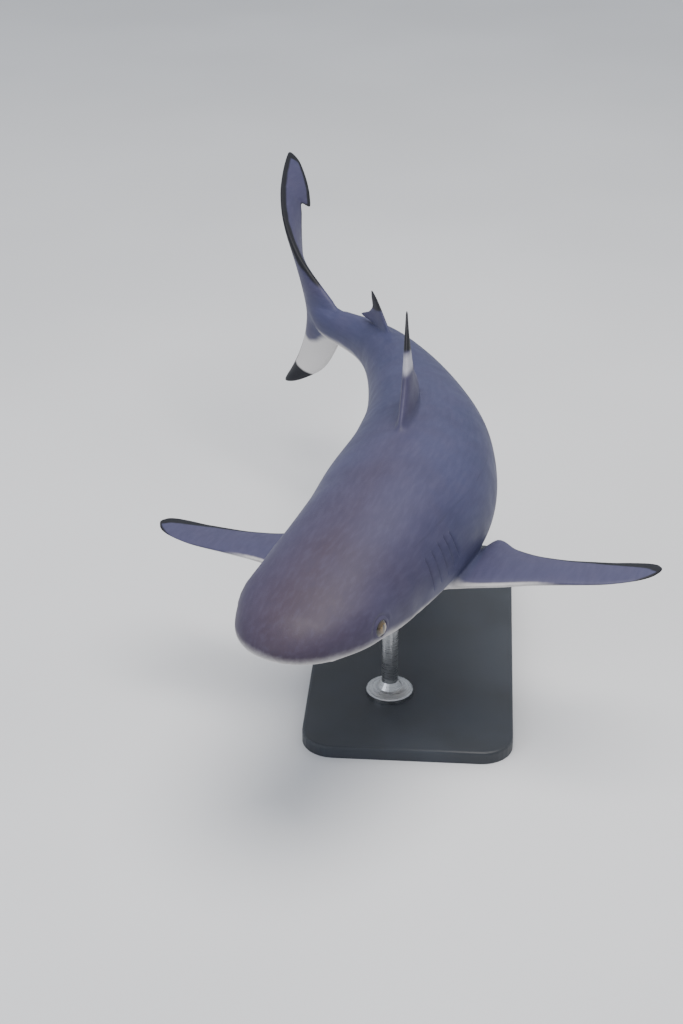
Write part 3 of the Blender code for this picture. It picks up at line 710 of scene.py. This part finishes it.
def tail_fin():
    """The tail fin as one blade: ribs fan from its upper tip round to its lower one, each a fin's section.
    Beyond TAIL_TIPS both tips are parabolas that go on from the last rows' slopes."""
    front, back = tail_ribs()
    number = np.arange(len(front))
    rows = np.linspace(*TAIL_TIPS, TAIL_ROWS)
    front_at = np.stack([smooth_through(number, front[:, k], rows) for k in (0, 1)], -1)
    back_at = np.stack([smooth_through(number, back[:, k], rows) for k in (0, 1)], -1)
    middle = (front_at + back_at) / 2
    half = (back_at - front_at) / 2
    # the last ring stops just short of the point
    turn = np.linspace(0, radians(88), TIP_RINGS + 1)[1:]
    ends = []
    for last, before in ((0, 1), (-1, -2)):
        wide, wider = np.linalg.norm(half[[last, before]], axis=1)
        out = (middle[last] - middle[before]) * wide / (2 * (wider - wide))
        tip = middle[last] + np.outer(np.sin(turn) ** 2, out)
        spread = np.outer(np.cos(turn), half[last])
        ends.append((tip - spread, tip + spread))
    front_at = np.concatenate((ends[0][0][::-1], front_at, ends[1][0]))
    back_at = np.concatenate((ends[0][1][::-1], back_at, ends[1][1]))
    rows = np.pad(rows, len(turn), "edge")
    shut = np.concatenate((np.cos(turn)[::-1], np.ones(TAIL_ROWS), np.cos(turn)))
    full = fin_section(smooth_through(*zip(*TAIL_THICKNESS), rows), shut)
    flat = front_at[:, None] + (back_at - front_at)[:, None] * chord_shares()[0][None, :, None]
    points = LENGTH * np.stack((PIT + flat[..., 0], full, flat[..., 1]), -1)
    return points, fin_marks(rows[:, None] + 0 * full, full)


# The body's faces have part 0
PARTS = {"pectoral_left": 1, "pectoral_right": 2, "pelvic_left": 3, "pelvic_right": 4, "first_dorsal": 5,
         "second_dorsal": 6, "anal": 7, "tail": 8}


def all_fins():
    """Points and marks of every fin by name. The last number of each is its even rows."""
    grids = {}
    for name, side in (("left", 1), ("right", -1)):
        grids["pectoral_" + name] = paired_fin(
            PECTORAL, PECTORAL_THICKNESS, PECTORAL_ROOT, side, PECTORAL_DROOP[side], PECTORAL_PITCH,
            PECTORAL_FRAME, 64)
        grids["pelvic_" + name] = paired_fin(
            PELVIC, PELVIC_THICKNESS, PELVIC_ROOT, side, PELVIC_DROOP, PELVIC_PITCH, PELVIC_FRAME, 26)
    grids["first_dorsal"] = median_fin(FIRST_DORSAL, FIRST_DORSAL_THICKNESS, FIRST_DORSAL_ROOT, 1, 48)
    grids["second_dorsal"] = median_fin(SECOND_DORSAL, SECOND_DORSAL_THICKNESS, SECOND_DORSAL_ROOT, 1, 26)
    grids["anal"] = median_fin(SECOND_DORSAL, SECOND_DORSAL_THICKNESS, ANAL_ROOT, -1, 26)
    grids["tail"] = tail_fin()
    return grids


def make_fins():
    """All the fins in one mesh, each a closed tube of rings, with its number kept on its faces."""
    points, marks, faces, numbers = [], [], [], []
    start = 0
    for name, (grid, mark) in all_fins().items():
        points.append(grid.reshape(-1, 3))
        marks.append(mark.reshape(-1, 3))
        made = tube_faces(*grid.shape[:2], start)
        faces += made
        numbers += [PARTS[name]] * len(made)
        start += len(points[-1])
    mesh = mesh_of("shark_fins", np.concatenate(points), faces)
    keep(mesh, "part", "INT", "FACE", numbers)
    keep_on_corners(mesh, np.concatenate(marks))
    face_out(mesh)
    return mesh


# ---- skin

def in_order(shape):
    """Sorts points by place, then edges and faces by their lowest points, because a union leaves them in an
    order that differs from run to run."""
    count = len(shape.verts)
    rank = np.argsort(np.lexsort(np.array([point.co for point in shape.verts]).T)).tolist()
    shape.verts.sort(key=lambda point: rank[point.index])
    shape.verts.index_update()

    def number(item):
        low, middle, *others = sorted(point.index for point in item.verts)
        return (low * count + middle) * count + (others[0] if others else 0)

    shape.edges.sort(key=number)
    shape.faces.sort(key=number)


def joined(body, fins):
    """Exact union of the body and the fins, as a new mesh."""
    one = add_piece("body_blank", body)
    two = add_piece("fin_blank", fins)
    union = one.modifiers.new("union", "BOOLEAN")
    union.operation = "UNION"
    union.solver = "EXACT"
    union.object = two
    bpy.context.view_layer.update()
    whole = bpy.data.meshes.new_from_object(one.evaluated_get(bpy.context.evaluated_depsgraph_get()))
    for obj in (one, two):
        bpy.data.objects.remove(obj)
    with edited(whole) as shape:
        in_order(shape)
        bmesh.ops.dissolve_degenerate(shape, dist=0.05 * MM, edges=shape.edges)
        bmesh.ops.triangulate(shape, faces=[f for f in shape.faces if len(f.verts) > 4])
    return whole


def relaxed(points, edges, count, weight):
    """Each point moved towards its neighbours' mean by its weight."""
    total = np.zeros_like(points)
    np.add.at(total, edges[:, 0], points[edges[:, 1]])
    np.add.at(total, edges[:, 1], points[edges[:, 0]])
    return points + weight[:, None] * (total / count[:, None] - points)


def round_joints(points, edges, seam, reach):
    """Rounds the inner corner where fins meet the body: points near the seam move to their neighbours' mean,
    fully at the seam and easing to nothing at the given distance. Also returns the distance from the seam."""
    count = np.maximum(np.bincount(edges.ravel(), minlength=len(points)), 1).astype(float)
    seam_points = points[seam]
    box = np.all((points > seam_points.min(0) - reach) & (points < seam_points.max(0) + reach), axis=1)
    away = np.full(len(points), 9.0)
    chosen = np.flatnonzero(box)
    for block in np.array_split(chosen, max(1, len(chosen) // 1500)):
        gap = points[block][:, None] - seam_points[None]
        away[block] = np.sqrt((gap ** 2).sum(-1).min(1))
    weight = ease(1.25 * (1 - away / reach))
    for _ in range(FILLET_ROUNDS):
        points = relaxed(points, edges, count, 0.62 * weight)
    return points, away


# Border of grey and white on the body's side: places along it, then heights there
WHITE_LINE = ((0.0, 0.04, 0.09, 0.15, 0.20, 0.25, 0.31, 0.37, 0.45, 0.49, 0.53, 0.60, 0.70, 0.80, 1.0),
              (-0.002, -0.005, -0.011, -0.019, -0.031, -0.040, -0.042, -0.037, -0.031, -0.020, -0.008, -0.010,
               -0.010, -0.012, -0.030))
# The wedge of white that runs forward along the flank: its half width and the height of its middle
WEDGE_HALF = ((0.32, 0.38, 0.49, 0.56), (-0.012, 0.000, 0.0062, -0.006))
WEDGE_MIDDLE = ((0.34, 0.50), (0.003, -0.0135))
LATERAL_LINE = ((0.16, 0.30, 0.50, 0.755), (0.034, 0.030, 0.015, 0.002))
# How wide the dark edge of a fin is: behind at shares of the fin's height, and round the tail by rib number
PECTORAL_EDGE = ((0.0, 0.2, 0.45, 0.67, 0.89, 1.0), (-0.004, 0.0004, 0.0022, 0.0050, 0.0110, 0.0140))
DORSAL_EDGE = ((0.0, 0.55, 0.70, 1.0), (-0.004, -0.003, 0.0020, 0.0040))
SMALL_EDGE = ((0.0, 0.3, 0.6, 1.0), (-0.004, -0.0005, 0.0018, 0.0040))
TAIL_TOP_EDGE = ((0, 4, 8, 10.5, 12), (0.0046, 0.0062, 0.0054, 0.0024, -0.006))
TAIL_BACK_EDGE = ((0, 3.5, 5, 10, 13, 16, 21), (0.0050, 0.0075, 0.0022, 0.0018, 0.0010, 0.0030, 0.0050))
# Outline of each fin, the height where its black tip starts, and its dark back edge
FIN_COLOURS = {
    "pectoral_left": (PECTORAL, 0.1725, PECTORAL_EDGE), "pectoral_right": (PECTORAL, 0.1725, PECTORAL_EDGE),
    "pelvic_left": (PELVIC, 0.041, SMALL_EDGE), "pelvic_right": (PELVIC, 0.041, SMALL_EDGE),
    "first_dorsal": (FIRST_DORSAL, 0.057, DORSAL_EDGE), "second_dorsal": (SECOND_DORSAL, 0.021, SMALL_EDGE),
    "anal": (SECOND_DORSAL, 0.026, SMALL_EDGE)}
# Under a pectoral fin the black starts this much nearer the body
BLACK_BELOW = 0.020
PALE_BAND = (0.040, 0.060)
RAYS_ACROSS = 36
RAYS_A_RIB = 6
OFF_PATCH = 0.05


def fin_markings(name, high, chord, thick, white):
    """dark, pale, white and width on one fin, whose points have white from the body: see markings."""
    outline, tip, edge = FIN_COLOURS[name]
    table = np.array(outline)
    front, back = (smooth_through(table[:, 0], table[:, k], high) for k in (1, 2))
    width = back - front
    to_back = (1 - chord) * width
    to_front = chord * width
    reach = high / outline[-1][0]
    below = np.where(thick < 0, BLACK_BELOW, 0.0) if name.startswith("pec") else 0.0
    tip_line = high - tip + below + 0.12 * tip * (chord - 0.5)
    front_edge = 0.0050 * ease((reach - 0.86) / 0.14) - 0.0006 - to_front
    dark = np.maximum(np.maximum(tip_line, smooth_through(*edge, reach) - to_back), front_edge)
    pale = -OFF_PATCH
    if name == "first_dorsal":
        pale = np.minimum(high - PALE_BAND[0], PALE_BAND[1] - high)
    if name.startswith("pe"):
        # white underneath and just round the front edge, slate on top and on the rim behind
        hold = ease(high / 0.03 + 0.7 * chord)
        round_front = 0.014 * (1 - ease(to_front / 0.005)) * (1 - ease((reach - 0.30) / 0.35))
        rim_behind = 0.012 * (1 - ease(to_back / 0.004))
        under = round_front - 1.5 * thick / LENGTH - 0.007 * np.sign(thick) - rim_behind
        white = (1 - hold) * white + hold * under
    elif name != "anal":
        white = white - 0.03 * ease(high / 0.01)
    return dark, pale, white, width


def tail_markings(rib, chord, share, up, white):
    """dark, white and width on the tail fin: black round its back, its top edge and both its tips."""
    front, back = tail_ribs()
    width = smooth_through(np.arange(len(front)), np.linalg.norm(back - front, axis=1), rib)
    edges = np.maximum(smooth_through(*TAIL_TOP_EDGE, rib) - chord * width,
                       smooth_through(*TAIL_BACK_EDGE, rib) - (1 - chord) * width)
    tips = np.maximum((1.5 - rib) * 0.02, np.where(rib > 12, -0.072 - up, -OFF_PATCH))
    white = white - 0.03 * ease((share - 0.760) / 0.05) * ease((up + 0.065) / 0.05)
    return np.maximum(edges, tips), white, width


def markings(points, part, marks, away):
    """Colour fields, in metres: each is positive inside its patch and gives the distance to its border.

    dark is the black of the fin tips and edges, pale the light band below it, white the belly with the wedge
    that runs forward along the flank, and line the height below the lateral line. fin goes from 0 on the body
    to 1 on a broad part of a fin, and ray counts fin rays.
    """
    share = points[:, 0] / LENGTH
    up = points[:, 2] / LENGTH
    height, chord, thick = marks.T
    wedge = np.interp(share, *WEDGE_HALF) - np.abs(up - np.interp(share, *WEDGE_MIDDLE))
    white = np.maximum(smooth_through(*WHITE_LINE, share) - up, wedge)
    dark = np.full(len(points), -OFF_PATCH)
    pale = np.full(len(points), -OFF_PATCH)
    wide = np.zeros(len(points))
    for name in FIN_COLOURS:
        on = part == PARTS[name]
        dark[on], pale[on], white[on], wide[on] = fin_markings(
            name, height[on], chord[on], thick[on], white[on])
    on = part == PARTS["tail"]
    dark[on], white[on], wide[on] = tail_markings(height[on], chord[on], share[on], up[on], white[on])
    ray = np.where(on, height * RAYS_A_RIB, chord * RAYS_ACROSS) * (part > 0)
    fin = np.where(part > 0, ease(away / 0.030) * ease(wide / 0.05), 0.0)
    line = np.interp(share, *LATERAL_LINE) - up
    line = np.where((part == 0) & (share > LATERAL_LINE[0][0]) & (share < 0.77), line, OFF_PATCH)
    return {"dark": dark * LENGTH, "pale": pale * LENGTH, "white": white * LENGTH, "fin": fin, "ray": ray,
            "line": line * LENGTH}


def marks_at_points(mesh):
    """Part number, fin marks and depth of fold for the painted shade at every point of the joined mesh, and
    the points on the seam, which have faces of a fin and of the body round them."""
    count = len(mesh.vertices)
    kept = read(mesh.attributes["marks"].data, "vector", 3).astype(float)
    loops = read(mesh.loops, "vertex_index", 1, np.int32)
    numbers = read(mesh.attributes["part"].data, "value", 1, np.int32)
    part = np.repeat(numbers, read(mesh.polygons, "loop_total", 1, np.int32))
    marks = np.zeros((count, 3))
    marks[loops[part > 0]] = kept[part > 0]
    fold_shade = np.zeros(count)
    fold_shade[loops[part == 0]] = kept[part == 0, 0]
    highest = np.zeros(count, np.int32)
    lowest = np.full(count, max(PARTS.values()), np.int32)
    np.maximum.at(highest, loops, part)
    np.minimum.at(lowest, loops, part)
    for name in ("marks", "part"):
        mesh.attributes.remove(mesh.attributes[name])
    return highest, marks, fold_shade, np.flatnonzero((highest > 0) & (lowest == 0))


def make_skin():
    """The whole animal but its eyes: body and fins joined, fillets rounded, colour fields kept, then bent."""
    whole = joined(make_body(), make_fins())
    part, marks, fold_shade, seam = marks_at_points(whole)
    points = read(whole.vertices, "co", 3).astype(float)
    points, away = round_joints(points, read(whole.edges, "vertices", 2, np.int32), seam, FILLET)
    # along, left, up is a left-handed frame, so the way into the world turns every face round
    whole.vertices.foreach_set("co", bend(points).astype(np.float32).ravel())
    whole.flip_normals()
    for name, values in {"fold_shade": fold_shade, **markings(points, part, marks, away)}.items():
        keep(whole, name, "FLOAT", "POINT", values)
    keep(whole, "straight", "FLOAT_VECTOR", "POINT", points)
    whole.materials.clear()
    whole.update()
    whole.shade_smooth()
    skin = add_piece("shark_skin", whole, museum_skin())
    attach(skin, "root")
    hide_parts("head", "lower_jaw", "gill_region", "trunk", "tail_stalk", "caudal_upper_lobe",
                "caudal_lower_lobe", "first_dorsal_fin", "second_dorsal_fin", "anal_fin", "pectoral_fin_left",
                "pectoral_fin_right", "pelvic_fin_left", "pelvic_fin_right")
    return skin


# ---- eyes

def make_eye(name, node, side, material):
    """The ball as an ellipsoid about its outward axis, polar angle by azimuth, its cornea 0.6 mm proud."""
    rows, columns = EYE_GRID
    polar = np.linspace(0.02, pi - 0.02, rows)[:, None]
    round_about = np.linspace(0, 2 * pi, columns, endpoint=False)[None]
    ball = np.stack((np.sin(polar) * np.cos(round_about), np.sin(polar) * np.sin(round_about),
                     np.cos(polar) + 0 * round_about), -1) * EYE_SIZE
    radius = np.hypot(ball[..., 0], ball[..., 1])
    ball[..., 2] += 0.6 * MM * ease((0.0088 - radius) / 0.0022) * (ball[..., 2] > 0)
    middle = EYE_SKIN - EYE_NORMAL * EYE_SUNK
    placed = (middle + ball @ np.array((EYE_FORWARD, EYE_UPWARD, EYE_NORMAL))) * (1, side, 1)
    mesh = mesh_of(name, bend(placed, EYE_ALONG), tube_faces(rows, columns))
    keep(mesh, "iris", "FLOAT_VECTOR", "POINT", ball)
    face_out(mesh)
    mesh.shade_smooth()
    eye = add_piece(name, mesh, material)
    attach(eye, "root")
    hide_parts(node)
    return eye


# ---- materials

def linear(code):
    """sRGB hex to linear RGBA."""
    parts = [int(code[i:i + 2], 16) / 255 for i in (1, 3, 5)]
    return [c / 12.92 if c <= 0.04045 else ((c + 0.055) / 1.055) ** 2.4 for c in parts] + [1.0]


def add(tree, kind, inputs, out=0, **settings):
    """Adds one node with its own settings. inputs gives, by socket, a value, a hex colour or another node's
    output. Returns the output asked for."""
    node = tree.nodes.new("ShaderNode" + kind)
    for key, value in settings.items():
        setattr(node, key, value)
    for socket, value in inputs.items():
        if isinstance(value, bpy.types.NodeSocket):
            tree.links.new(value, node.inputs[socket])
        else:
            node.inputs[socket].default_value = linear(value) if isinstance(value, str) else value
    return node.outputs[out]


def paint_over(tree, colour, coats):
    """Lays coats over a colour, one on another. A coat is a value, where it starts to show and where it shows
    in full, how strong it then is, and its colour."""
    for value, start, full, strength, over in coats:
        share = add(tree, "MapRange", {0: value, 1: start, 2: full, 4: strength},
                    interpolation_type="SMOOTHSTEP")
        colour = add(tree, "Mix", {0: share, 6: colour, 7: over}, 2, data_type="RGBA")
    return colour


def new_material(name, **sockets):
    """A material and its nodes, with the constants of its shader's own sockets."""
    material = bpy.data.materials.new(name)
    material.use_nodes = True
    for socket, value in sockets.items():
        material.node_tree.nodes["Principled BSDF"].inputs[socket.replace("_", " ")].default_value = value
    return material, material.node_tree


def wire(tree, **outputs):
    """Links what the nodes work out to the shader's sockets."""
    for socket, output in outputs.items():
        tree.links.new(output, tree.nodes["Principled BSDF"].inputs[socket.replace("_", " ")])


def museum_skin():
    """Shark skin as a display maker finishes it: denticled hide cast in resin, airbrushed and sealed satin.

    To the eye: an even violet slate that warms to brown over the head and the middle of the back, with faint
    streaks along the flow, soft-edged black tips, a white belly, painted shade deep in the slits and pits,
    and a dull sheen.
    """
    material, tree = new_material("airbrushed_satin_hide", Specular_IOR_Level=0.28)
    straight = add(tree, "Attribute", {}, "Vector", attribute_name="straight")
    dark, pale, white, fin, ray, line, fold_shade = (
        add(tree, "Attribute", {}, "Fac", attribute_name=name)
        for name in ("dark", "pale", "white", "fin", "ray", "line", "fold_shade"))
    along, left, up = (add(tree, "SeparateXYZ", {0: straight}, axis) for axis in "XYZ")
    # noises that vary over about 110, 26 and 5 mm; the last is drawn out along the flow to 24 mm
    drawn_out = add(tree, "Mapping", {"Vector": straight, "Scale": (0.22, 1.0, 1.0)})
    broad = add(tree, "TexNoise", {"Vector": straight, "Scale": 9.0, "Detail": 3.0})
    cloud = add(tree, "TexNoise", {"Vector": straight, "Scale": 38.0, "Detail": 4.0})
    streak = add(tree, "TexNoise", {"Vector": drawn_out, "Scale": 190.0, "Detail": 3.0})
    # the brown runs from the snout back along the spine, to 0.55 m behind it and 0.1 m to each side
    sideways = add(tree, "Math", {0: left}, operation="ABSOLUTE")
    from_snout = add(tree, "Math", {0: sideways, 1: 2.4, 2: along}, operation="MULTIPLY_ADD")
    brown_from = add(tree, "Math", {0: broad, 1: 0.30, 2: from_snout}, operation="MULTIPLY_ADD")
    # the flanks pale downwards. The borders wander by a few millimetres, most between grey and white and
    # least round the black. The lateral line is a row of pores 1.2 mm wide; those on the snout are 1 mm
    off_line = add(tree, "Math", {0: line}, operation="ABSOLUTE")
    drift = add(tree, "Math", {0: broad, 1: 0.012, 2: white}, operation="MULTIPLY_ADD")
    flank, wander, ragged, feathered, broken = (
        add(tree, "Math", {0: noise, 1: by, 2: to}, operation="MULTIPLY_ADD") for noise, by, to in (
            (up, -1.0, 0.012), (streak, 0.004, drift), (cloud, 0.004, dark), (streak, 0.004, pale),
            (streak, -0.008, off_line)))
    cells = add(tree, "TexVoronoi", {"Vector": straight, "Scale": 230.0}, "Distance")
    pores = add(tree, "MapRange", {0: along, 1: 0.085, 2: 0.125, 3: cells, 4: 1.0})
    hide = paint_over(tree, "#3A3D5B", (
        (broad, 0.36, 0.64, 1.0, "#424462"),
        (flank, 0.010, 0.055, 0.50, "#515571"),
        (brown_from, 0.80, 0.14, 1.0, "#423745"),
        (fin, 0.0, 1.0, 0.55, "#44405A"),
        (cloud, 0.40, 0.66, 0.15, "#4F4A5F"),
        (streak, 0.46, 0.70, 0.11, "#5D5C76"),
        (streak, 0.52, 0.30, 0.13, "#2E2F47"),
        (broken, -0.0026, -0.0042, 0.28, "#2A2B3E"),
        (wander, 0.000, 0.017, 1.0, "#CFCCCA"),
        (feathered, 0.000, 0.011, 0.80, "#B5B4BE"),
        (pores, 0.17, 0.09, 0.38, "#3B3338"),
        (ragged, 0.0004, 0.0044, 1.0, "#17181F"),
        # painted shade: a dark coat, deepest in the mouth, nostril pits, gill slits and eye openings
        (fold_shade, 0.35, 1.0, 0.85, "#2C2024")))
    gloss = add(tree, "MapRange", {0: cloud, 1: 0.3, 2: 0.7, 3: 0.45, 4: 0.58})
    # denticles are 0.3 mm; drawn 1.6 mm apart, which is as fine as shows, with the fin rays over them
    scaled = add(tree, "Mapping", {"Vector": straight, "Scale": (0.6, 1.0, 1.0)})
    grains = add(tree, "TexVoronoi", {"Vector": scaled, "Scale": 620.0}, "Distance")
    turn = add(tree, "Math", {0: ray, 1: 2 * pi}, operation="MULTIPLY")
    wave = add(tree, "Math", {0: turn}, operation="SINE")
    rays = add(tree, "Math", {0: wave, 1: fin}, operation="MULTIPLY")
    normal = add(tree, "Bump", {"Strength": 0.22, "Distance": 0.0003, "Height": grains})
    normal = add(tree, "Bump", {"Strength": 0.16, "Distance": 0.0012, "Height": cloud, "Normal": normal})
    normal = add(tree, "Bump", {"Strength": 0.12, "Distance": 0.0003, "Height": rays, "Normal": normal})
    wire(tree, Base_Color=hide, Roughness=gloss, Normal=normal)
    return material


def glass_eye():
    """Glass eye, painted behind and fire-polished: a deep wet gloss over an amber iris and a slit pupil."""
    material, tree = new_material("blown_glass_eye", Roughness=0.12, IOR=1.45, Coat_Weight=1.0,
                                  Coat_Roughness=0.03, Coat_IOR=1.5)
    place = add(tree, "Attribute", {}, "Vector", attribute_name="iris")
    across, high = (add(tree, "SeparateXYZ", {0: place}, axis) for axis in "XY")
    flat = add(tree, "Mapping", {"Vector": place, "Scale": (1.0, 1.0, 0.0)})
    radius = add(tree, "VectorMath", {0: flat}, "Value", operation="LENGTH")
    around = add(tree, "Math", {0: high, 1: across}, operation="ARCTAN2")
    # fibres of the iris: 0.1 mm wide near the pupil, drawn at 0.3 mm so that they show
    spoke = add(tree, "Math", {0: around, 1: 10.0}, operation="MULTIPLY")
    reach = add(tree, "Math", {0: radius, 1: 310.0}, operation="MULTIPLY")
    spokes = add(tree, "CombineXYZ", {0: spoke, 1: reach})
    fibre = add(tree, "TexNoise", {"Vector": spokes, "Scale": 1.0, "Detail": 4.0})
    # the pupil is an ellipse 3 mm wide and 12.8 mm high
    slit = add(tree, "Mapping", {"Vector": flat, "Scale": (1 / 0.0015, 1 / 0.0064, 0.0)})
    slit = add(tree, "VectorMath", {0: slit}, "Value", operation="LENGTH")
    iris = paint_over(tree, "#43331C", (
        (fibre, 0.35, 0.65, 1.0, "#836A3B"),
        (radius, 0.0045, 0.0085, 1.0, "#3A2E1D"),
        (radius, 0.0086, 0.0096, 1.0, "#100E0C"),
        (slit, 1.08, 0.92, 1.0, "#040404")))
    wire(tree, Base_Color=iris)
    return material


def stand_paint():
    """Steel plate, powder coated: a dark, even, finely pebbled satin."""
    material, tree = new_material("powder_coated_steel_plate")
    place = add(tree, "TexCoord", {}, "Object")
    patch = add(tree, "TexNoise", {"Vector": place, "Scale": 14.0, "Detail": 3.0})
    colour = paint_over(tree, "#2B2F35", ((patch, 0.3, 0.7, 1.0, "#343941"),))
    # powder's orange peel is 0.5 mm; drawn at 1.5 mm so that it shows
    peel = add(tree, "TexNoise", {"Vector": place, "Scale": 650.0, "Detail": 2.0})
    bump = add(tree, "Bump", {"Strength": 0.4, "Distance": 0.0002, "Height": peel})
    gloss = add(tree, "MapRange", {0: patch, 1: 0.3, 2: 0.7, 3: 0.42, 4: 0.55})
    wire(tree, Base_Color=colour, Roughness=gloss, Normal=bump)
    return material


def rod_steel():
    """Stainless bar, turned and brushed: bright, with fine rings round it that break up the highlight."""
    material, tree = new_material("turned_stainless_steel", Metallic=1.0, Anisotropic=0.4)
    place = add(tree, "TexCoord", {}, "Object")
    flat = add(tree, "Mapping", {"Vector": place, "Scale": (0.03, 0.03, 1.0)})
    rings = add(tree, "TexNoise", {"Vector": flat, "Scale": 1400.0, "Detail": 3.0})
    colour = paint_over(tree, "#A9ABAD", ((rings, 0.3, 0.7, 1.0, "#C4C6C8"),))
    gloss = add(tree, "MapRange", {0: rings, 1: 0.3, 2: 0.7, 3: 0.22, 4: 0.38})
    bump = add(tree, "Bump", {"Strength": 0.2, "Distance": 0.0001, "Height": rings})
    wire(tree, Base_Color=colour, Roughness=gloss, Normal=bump)
    return material


def finish_stand():
    painted = stand_paint()
    steel = rod_steel()
    for name, material in (("stand_base", painted), ("stand_rod_front", steel), ("stand_rod_rear", steel)):
        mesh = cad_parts[name].data
        mesh.materials.clear()
        mesh.materials.append(material)


# ---- floor, light and camera

def make_floor():
    """A round level sheet under the stand, whose rim curves up in a quarter circle into a low backdrop."""
    level, rim = 9, 2
    turn = np.linspace(0, 2 * pi, 72, endpoint=False)[None]
    bow = np.linspace(0.05, pi / 2, 10)
    run = np.concatenate((np.linspace(0.02, level, 16), level + rim * np.sin(bow)))[:, None]
    rise = np.concatenate((np.zeros(16), rim - rim * np.cos(bow)))[:, None]
    points = np.stack((run * np.cos(turn), run * np.sin(turn), rise + 0 * turn), -1)
    mesh = mesh_of("studio_floor", points, grid_faces(*points.shape[:2], closed=True) + [list(range(72))])
    mesh.shade_smooth()
    material, tree = new_material("matt_studio_floor", Roughness=0.8)
    place = add(tree, "TexCoord", {}, "Object")
    patch = add(tree, "TexNoise", {"Vector": place, "Scale": 1.2})
    wire(tree, Base_Color=paint_over(tree, "#DADBDD", ((patch, 0.35, 0.65, 1.0, "#E0E1E3"),)))
    floor = add_piece("studio_floor", mesh, material)


def soft_light(name, place, aim, size, power, colour):
    data = bpy.data.lights.new(name, "AREA")
    data.shape = "DISK"
    data.size = size
    data.energy = power
    data.color = linear(colour)[:3]
    light = bpy.data.objects.new(name, data)
    bpy.context.scene.collection.objects.link(light)
    light.location = place
    light.rotation_euler = (Vector(aim) - Vector(place)).to_track_quat("-Z", "Y").to_euler()


def light_studio():
    """A broad soft box overhead, a weaker one from the front left, and an even pale surround."""
    soft_light("overhead_soft_box", (0.3, -0.2, 3.2), (0, 0, 0.2), 2.6, 120, "#FFFBF6")
    soft_light("front_soft_box", (-2.4, -2.6, 1.7), (0, 0, 0.25), 1.8, 30, "#EEF2FF")
    world = bpy.data.worlds.new("pale_surround")
    world.use_nodes = True
    surround = world.node_tree.nodes["Background"].inputs
    surround["Color"].default_value = linear("#DDE2EA")
    surround["Strength"].default_value = 0.85
    bpy.context.scene.world = world


# The camera's rise and turn, its distance from the place on the spine that it stands about, its lens in mm,
# and how far left of and below that place it aims
CAMERA_RISE = radians(27.4)
CAMERA_TURN = radians(1.8)
CAMERA_AWAY = 1.813 * LENGTH
LOOKED_AT = 0.33
CAMERA_LENS = 66.0
AIM_LEFT = 0.0683
AIM_BELOW = 0.0250


def make_camera():
    """Looks down at the shark from ahead of it."""
    level = cos(CAMERA_RISE)
    back = np.array((sin(CAMERA_TURN) * level, -cos(CAMERA_TURN) * level, sin(CAMERA_RISE)))
    right = unit(np.cross(-back, (0, 0, 1)))
    upward = np.cross(right, -back)
    spot = bend(np.array((LOOKED_AT * LENGTH, 0.0, 0.0)))
    aim = spot - right * AIM_LEFT * LENGTH - upward * AIM_BELOW * LENGTH
    data = bpy.data.cameras.new("camera")
    data.lens = CAMERA_LENS
    data.clip_end = 100
    camera = bpy.data.objects.new("camera", data)
    bpy.context.scene.collection.objects.link(camera)
    place = spot + back * CAMERA_AWAY
    camera.location = place
    camera.rotation_euler = Vector(aim - place).to_track_quat("-Z", "Y").to_euler()
    bpy.context.scene.camera = camera


make_skin()
eye_glass = glass_eye()
make_eye("left_eye", "eye_left", 1, eye_glass)
make_eye("right_eye", "eye_right", -1, eye_glass)
finish_stand()
make_floor()
light_studio()
make_camera()
